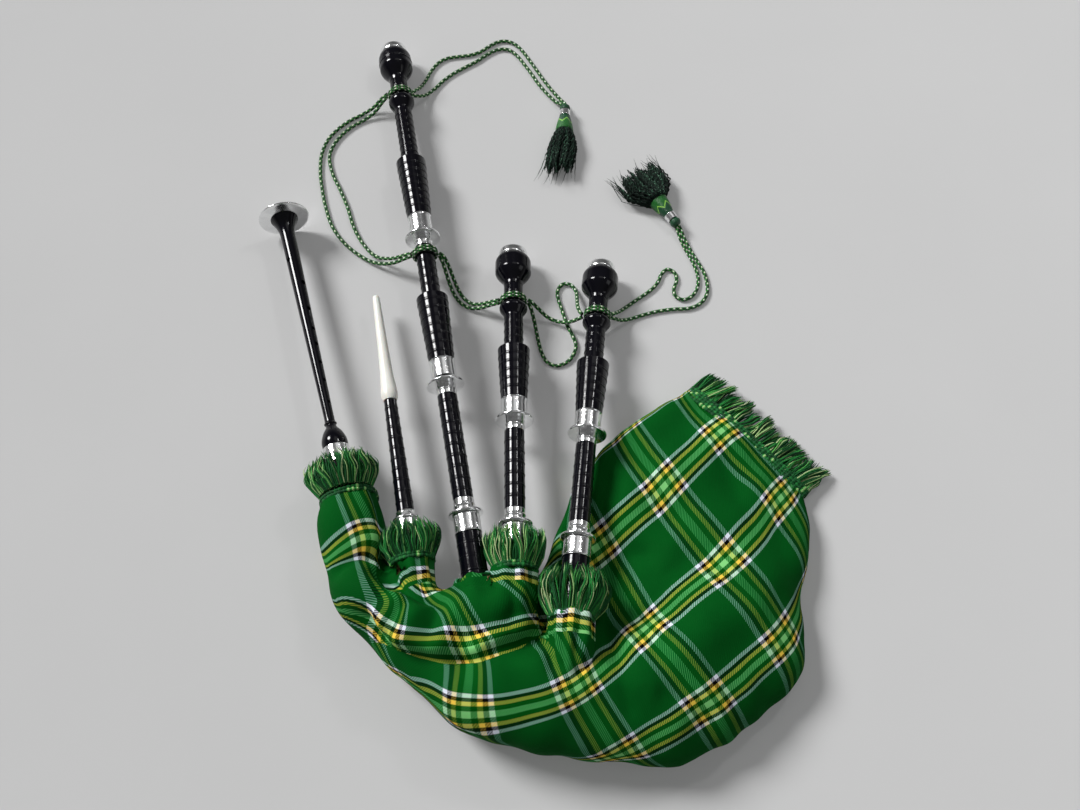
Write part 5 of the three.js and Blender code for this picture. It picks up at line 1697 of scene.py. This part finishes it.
def make_bag(cover):
    """The bag's own skin, below the folded cloth while that is still closed."""
    mesh = cover.data.copy()
    bag = add_object("bag_skin", mesh)
    points, outward = read_points(mesh)
    write_points(mesh, keep_inside(tuck_skin(points - outward * SKIN_GAP), cover.data))
    dress(bag, MATERIALS["bag_leather"], "bag_and_stocks", "bag_leather", "bag")


def make_cover():
    cover = cover_base()
    rest, normal = read_points(cover.data)
    write_points(cover.data, fold_cloth(rest, normal))
    map_cloth(cover.data, rest, normal)
    make_bag(cover)
    open_sleeves(cover)
    dress(cover, MATERIALS["tartan_cloth"], "bag_and_stocks", "tartan_cloth", "bag_cover")
    smooth_faces(cover.data)


# Fringes

# Strands of yarn: their thickness, how it tapers to the tips, and the tones of dull and pale ones
FRINGE_POINTS = 14
YARN_THICKNESS = (0.8, 0.4)
YARN_TIP = (4, 1.04)
DULL_TONE_SHARE = 0.72
PALE_TONES = (0.78, 0.22)

# How a tuft of strands wanders, and how much each strand differs from its tuft
TUFT_WAVES = (0.4, 0.9)
TUFT_WANDER = (0.3, 1)
STRAND_PHASE = 0.9
STRAND_WANDER = (0.75, 0.5)

# Knotted bands: their knots' tones, how much a knot bulges, how much knots differ, and how much
# painted shade darkens them between the knots
BAND_RADIUS = 2.0 * MM
BAND_STEP = 1.2 * MM
BAND_SIDES = 8
KNOT_STEPS = 4
KNOT_TONES = (0.12, 0.42)
KNOT_BULGE = (0.72, 0.5)
KNOT_SIZES = (0.85, 0.3)
KNOT_PAINTED_SHADE = (0.45, 0.55)
PALE_KNOT_SHARE = 0.14
PALE_KNOT_TONE = 0.95

# Yarn round a sleeve: how far below its node it starts, up to where its foot is measured, the
# waist it curls in to, how far it drifts sideways and outwards, and how near the stock it comes
RING_TUFTS = 40
RING_DROP = 2.5 * MM
RING_FOOT = 3.5 * MM
RING_WAIST = 19 * MM
RING_SIDEWAYS = 4.5 * MM
RING_SIDE_REACH = 6 * MM
RING_OUTWARDS = 3 * MM
RING_LEAST = 16.6 * MM

# Its strands: their length, how far out they start, how far each layer bulges and curls in
RING_LENGTH = (0.86, 0.22)
RING_START = (0.72, 0.28)
RING_BULGE = (0.5, 0.7)
RING_BULGE_SPAN = 0.8
RING_CURL_POWER = 2.2
RING_CURL_LAYERS = 1.2

# Each fringe: its pipe, strands, seed of the random draws, and how much it curls in
FRINGES = {
    "neck_fringe": ("chanter", 900, 5, 0.62),
    "blowpipe_fringe": ("blowpipe", 700, 6, 0.45),
    "tenor_1_fringe": ("tenor_1", 700, 7, 0.6),
    "tenor_2_fringe": ("tenor_2", 820, 8, 0.7),
}
RING_PALE_SHARE = 0.22

# Knotted bands below the mouths
SLEEVE_BANDS = (0.6 * MM, 4.2 * MM)
SLEEVE_BAND_INSET = 0.8 * MM
NECK_BANDS = (0.5 * MM, 4.0 * MM)
CIRCLE_POINTS = 60

# The fringe along the tail: its yarn, its length in scallops, and how it leans from side to side
TAIL_SEED = 21
TAIL_STRANDS = 760
TAIL_TUFTS = 34
TAIL_YARN_RADIUS = 0.8 * MM
TAIL_PALE_SHARE = 0.26
TAIL_LENGTH = 41 * MM
TAIL_SCALLOPS = 5
TAIL_SCALLOP = (0.95, -0.1)
TAIL_UNEVEN = 0.13
TAIL_SWAYS = 6.3
TAIL_LEAN = (-0.14, 0.16)
TAIL_LEAN_UNEVEN = 0.16

# From where on the edge the strands start, how far inside it, how high they arch, how they fall
# to their low place, and how far they drift sideways and up
TAIL_START = (0.4, 0.56)
TAIL_INSIDE = 2 * MM
TAIL_ARCH = 2.5 * MM
TAIL_LOW = 5 * MM
TAIL_FALL_SHARE = 0.75
TAIL_FALL_POWER = 1.6
TAIL_SIDEWAYS = 2.2 * MM
TAIL_UPWARDS = 2.4 * MM

# The bands on the edge: how many, how thick, and the part of the edge they cover. Then their pitch
# in radii, how many pitches out the first one lies, how many radii they sink, and how much they
# rise on the way in.
TAIL_BANDS = 4
TAIL_BAND_RADIUS = 2.3 * MM
TAIL_BAND_STEPS = 50
TAIL_BAND_SPAN = (0.01, 0.99)
TAIL_BAND_PITCH = 1.9
TAIL_BAND_FIRST = 0.6
TAIL_BAND_SINK = 0.6
TAIL_BAND_RISE = 0.16


def yarn_object(name, paths, rng, pale_share, radius=YARN_RADIUS):
    """Strands of yarn of uneven thickness and tone, a share of them pale."""
    count, length = paths.shape[:2]
    paths[..., 2] = np.maximum(paths[..., 2], radius)
    t = np.linspace(0, 1, length)[None, :]
    radii = radius * vary(YARN_THICKNESS, rng.random((count, 1))) * tip_share(YARN_TIP, t)
    verts, faces, uvs = tube_mesh(paths, radii, YARN_SIDES)
    tints = rng.random(count) * DULL_TONE_SHARE
    pale = rng.random(count) < pale_share
    tints[pale] = vary(PALE_TONES, rng.random(pale.sum()))
    return make_object(name, verts, faces, uvs, np.repeat(tints, length * YARN_SIDES))


def wander(rng, tuft, t, size):
    """A slow sideways drift of each strand, much the same for all strands of a tuft."""
    tufts = tuft.max() + 1
    phase = (rng.random(tufts) * 2 * np.pi)[tuft] + STRAND_PHASE * rng.random(tuft.shape)
    waves = vary(TUFT_WAVES, rng.random(tufts))[tuft]
    reach = vary(TUFT_WANDER, rng.random(tufts))[tuft] * vary(STRAND_WANDER, rng.random(tuft.shape))
    return size * reach * (np.sin(2 * np.pi * waves * t + phase) - np.sin(phase)) * t


def ring_fringe(name, pipe, count, seed, curl):
    """Yarn round the mouth of a sleeve, which bulges out from its foot and curls in again."""
    rng = np.random.default_rng(seed)

    def draw():
        return rng.random((count, 1))

    place = PIPES[pipe]
    local = node_points(name, place)
    radius = axis_distance(local)
    low, high = local[:, 2].min() - RING_DROP, local[:, 2].max()
    foot = radius[local[:, 2] < low + RING_FOOT].max()
    t = np.linspace(0, 1, FRINGE_POINTS)[None, :]
    layer = np.sqrt(draw())
    angle = draw() * 2 * np.pi
    length = (high - low) * vary(RING_LENGTH, draw())
    bulge = np.sin(np.pi * (t * RING_BULGE_SPAN))
    base = foot * vary(RING_START, layer)
    out = (radius.max() - foot) * bulge * vary(RING_BULGE, layer)
    back = (foot - RING_WAIST) * curl * t ** RING_CURL_POWER * (RING_CURL_LAYERS - layer)
    tuft = (angle / (2 * np.pi) * RING_TUFTS).astype(int)
    turn = angle + wander(rng, tuft, t, RING_SIDEWAYS) / (foot + RING_SIDE_REACH)
    reach = np.maximum(base + out - back + wander(rng, tuft, t, RING_OUTWARDS), RING_LEAST)
    points = round_points(reach, turn, low + length * t)
    paths = to_world(place, points.reshape(-1, 3)).reshape(count, FRINGE_POINTS, 3)
    fringe = yarn_object(f"{name}_yarn", paths, rng, RING_PALE_SHARE)
    dress(fringe, MATERIALS["fringe_yarn"], "bag_and_stocks", "fringe_yarn", name)


def band(name, line, radius=BAND_RADIUS):
    """A knotted band at the foot of a fringe, with a pale knot here and there."""
    line = curve_through(line, BAND_STEP)
    rng = np.random.default_rng(sum(map(ord, name)))
    steps = np.arange(len(line))
    knot = steps // KNOT_STEPS
    count = knot.max() + 1
    bulge = np.sin(np.pi * (steps % KNOT_STEPS + 0.5) / KNOT_STEPS)
    tone = vary(KNOT_TONES, rng.random(count))
    tone[rng.random(count) < PALE_KNOT_SHARE] = PALE_KNOT_TONE
    girth = radius * vary(KNOT_BULGE, bulge) * vary(KNOT_SIZES, rng.random(count))[knot]
    verts, faces, uvs = tube_mesh([line], girth[None, :], BAND_SIDES)
    # Painted shade: each knot's tone darkens towards its ends, where it meets the next knot.
    tints = np.repeat(tone[knot] * vary(KNOT_PAINTED_SHADE, bulge), BAND_SIDES)
    obj = make_object(name, verts, faces, uvs, tints)
    dress(obj, MATERIALS["fringe_yarn"], "bag_and_stocks", "fringe_yarn")


def circle_line(place, radius, height):
    return to_world(place, round_points(radius, np.linspace(0, 2 * np.pi, CIRCLE_POINTS), height))


def make_bands():
    """Two bands below each mouth, but one at the bass drone's."""
    for pipe, end in SLEEVE_ENDS.items():
        shifts = SLEEVE_BANDS[:1] if pipe == "bass" else SLEEVE_BANDS
        for k, shift in enumerate(shifts):
            line = circle_line(PIPES[pipe], SLEEVE_RADIUS - SLEEVE_BAND_INSET, end - shift)
            band(f"{pipe}_sleeve_band_{k + 1}", line)
    neck = section_loop(SECTION_SHARES[0])
    axis = np.array(PIPES["chanter"])[:3, 2]
    for k, shift in enumerate(NECK_BANDS):
        line = np.vstack([neck, neck[:1]]) - axis * shift
        line[:, 2] = np.maximum(line[:, 2], BAND_RADIUS)
        band(f"neck_band_{k + 1}", line)


def make_tail_fringe():
    """Yarn along the closed end of the bag, below four knotted rows on the cloth's edge."""
    rng = np.random.default_rng(TAIL_SEED)

    def draw():
        return rng.random((TAIL_STRANDS, 1))

    outer, inner, height = section_edges(SECTION_SHARES[-1])
    width = np.linalg.norm(inner - outer)
    along = (inner - outer) / width
    away = np.array([along[1], -along[0]])

    def crest(share):
        return height * (EDGE_SHARE + (1 - EDGE_SHARE) * dome(share))

    t = np.linspace(0, 1, FRINGE_POINTS)[None, :]
    at = draw()
    tuft = (at * TAIL_TUFTS).astype(int)
    scallop = np.cos(2 * np.pi * TAIL_SCALLOPS * at)
    length = TAIL_LENGTH * (vary(TAIL_SCALLOP, scallop) + TAIL_UNEVEN * draw())
    sway = np.sin(2 * np.pi * TAIL_SWAYS * at + 1)
    lean = vary(TAIL_LEAN, sway) + TAIL_LEAN_UNEVEN * (draw() - 0.5)
    start = crest(at) * vary(TAIL_START, draw())
    across = at * width + lean * length * t + wander(rng, tuft, t, TAIL_SIDEWAYS)
    fall = (start - TAIL_LOW) * TAIL_FALL_SHARE * t ** TAIL_FALL_POWER
    level = start + TAIL_ARCH * np.sin(np.pi * t) - fall + wander(rng, tuft, t, TAIL_UPWARDS)
    plan = outer + across[..., None] * along + (length * t - TAIL_INSIDE)[..., None] * away
    paths = np.concatenate([plan, level[..., None]], axis=-1)
    fringe = yarn_object("tail_fringe_yarn", paths, rng, TAIL_PALE_SHARE, TAIL_YARN_RADIUS)
    dress(fringe, MATERIALS["fringe_yarn"], "bag_and_stocks", "fringe_yarn", "tail_fringe")
    share = np.linspace(*TAIL_BAND_SPAN, TAIL_BAND_STEPS)[:, None]
    for k in range(TAIL_BANDS):
        inset = (k - TAIL_BAND_FIRST) * TAIL_BAND_PITCH * TAIL_BAND_RADIUS
        level = crest(share) - TAIL_BAND_SINK * TAIL_BAND_RADIUS + TAIL_BAND_RISE * inset
        line = np.concatenate([outer + share * width * along - away * inset, level], axis=1)
        band(f"tail_band_{k + 1}", line, TAIL_BAND_RADIUS)


def paint_inner():
    """The reeds and the valve flap keep their own shapes, and get their material."""
    for name, node in nodes.items():
        if name.endswith("reed"):
            paint(node, MATERIALS["cane"])
    paint(nodes["valve_flap"], MATERIALS["bag_leather"])


# Build

make_camera()
make_stage()
make_lights()
make_world()
bpy.context.scene.view_settings.view_transform = "Standard"
make_cords()
for tassel, facts in TASSEL_PLACES.items():
    make_tassel(tassel, *facts)
make_loops()
turned = make_turned()
drill_chanter(turned["chanter"])
make_cover()
for fringe, facts in FRINGES.items():
    ring_fringe(fringe, *facts)
make_bands()
make_tail_fringe()
paint_inner()
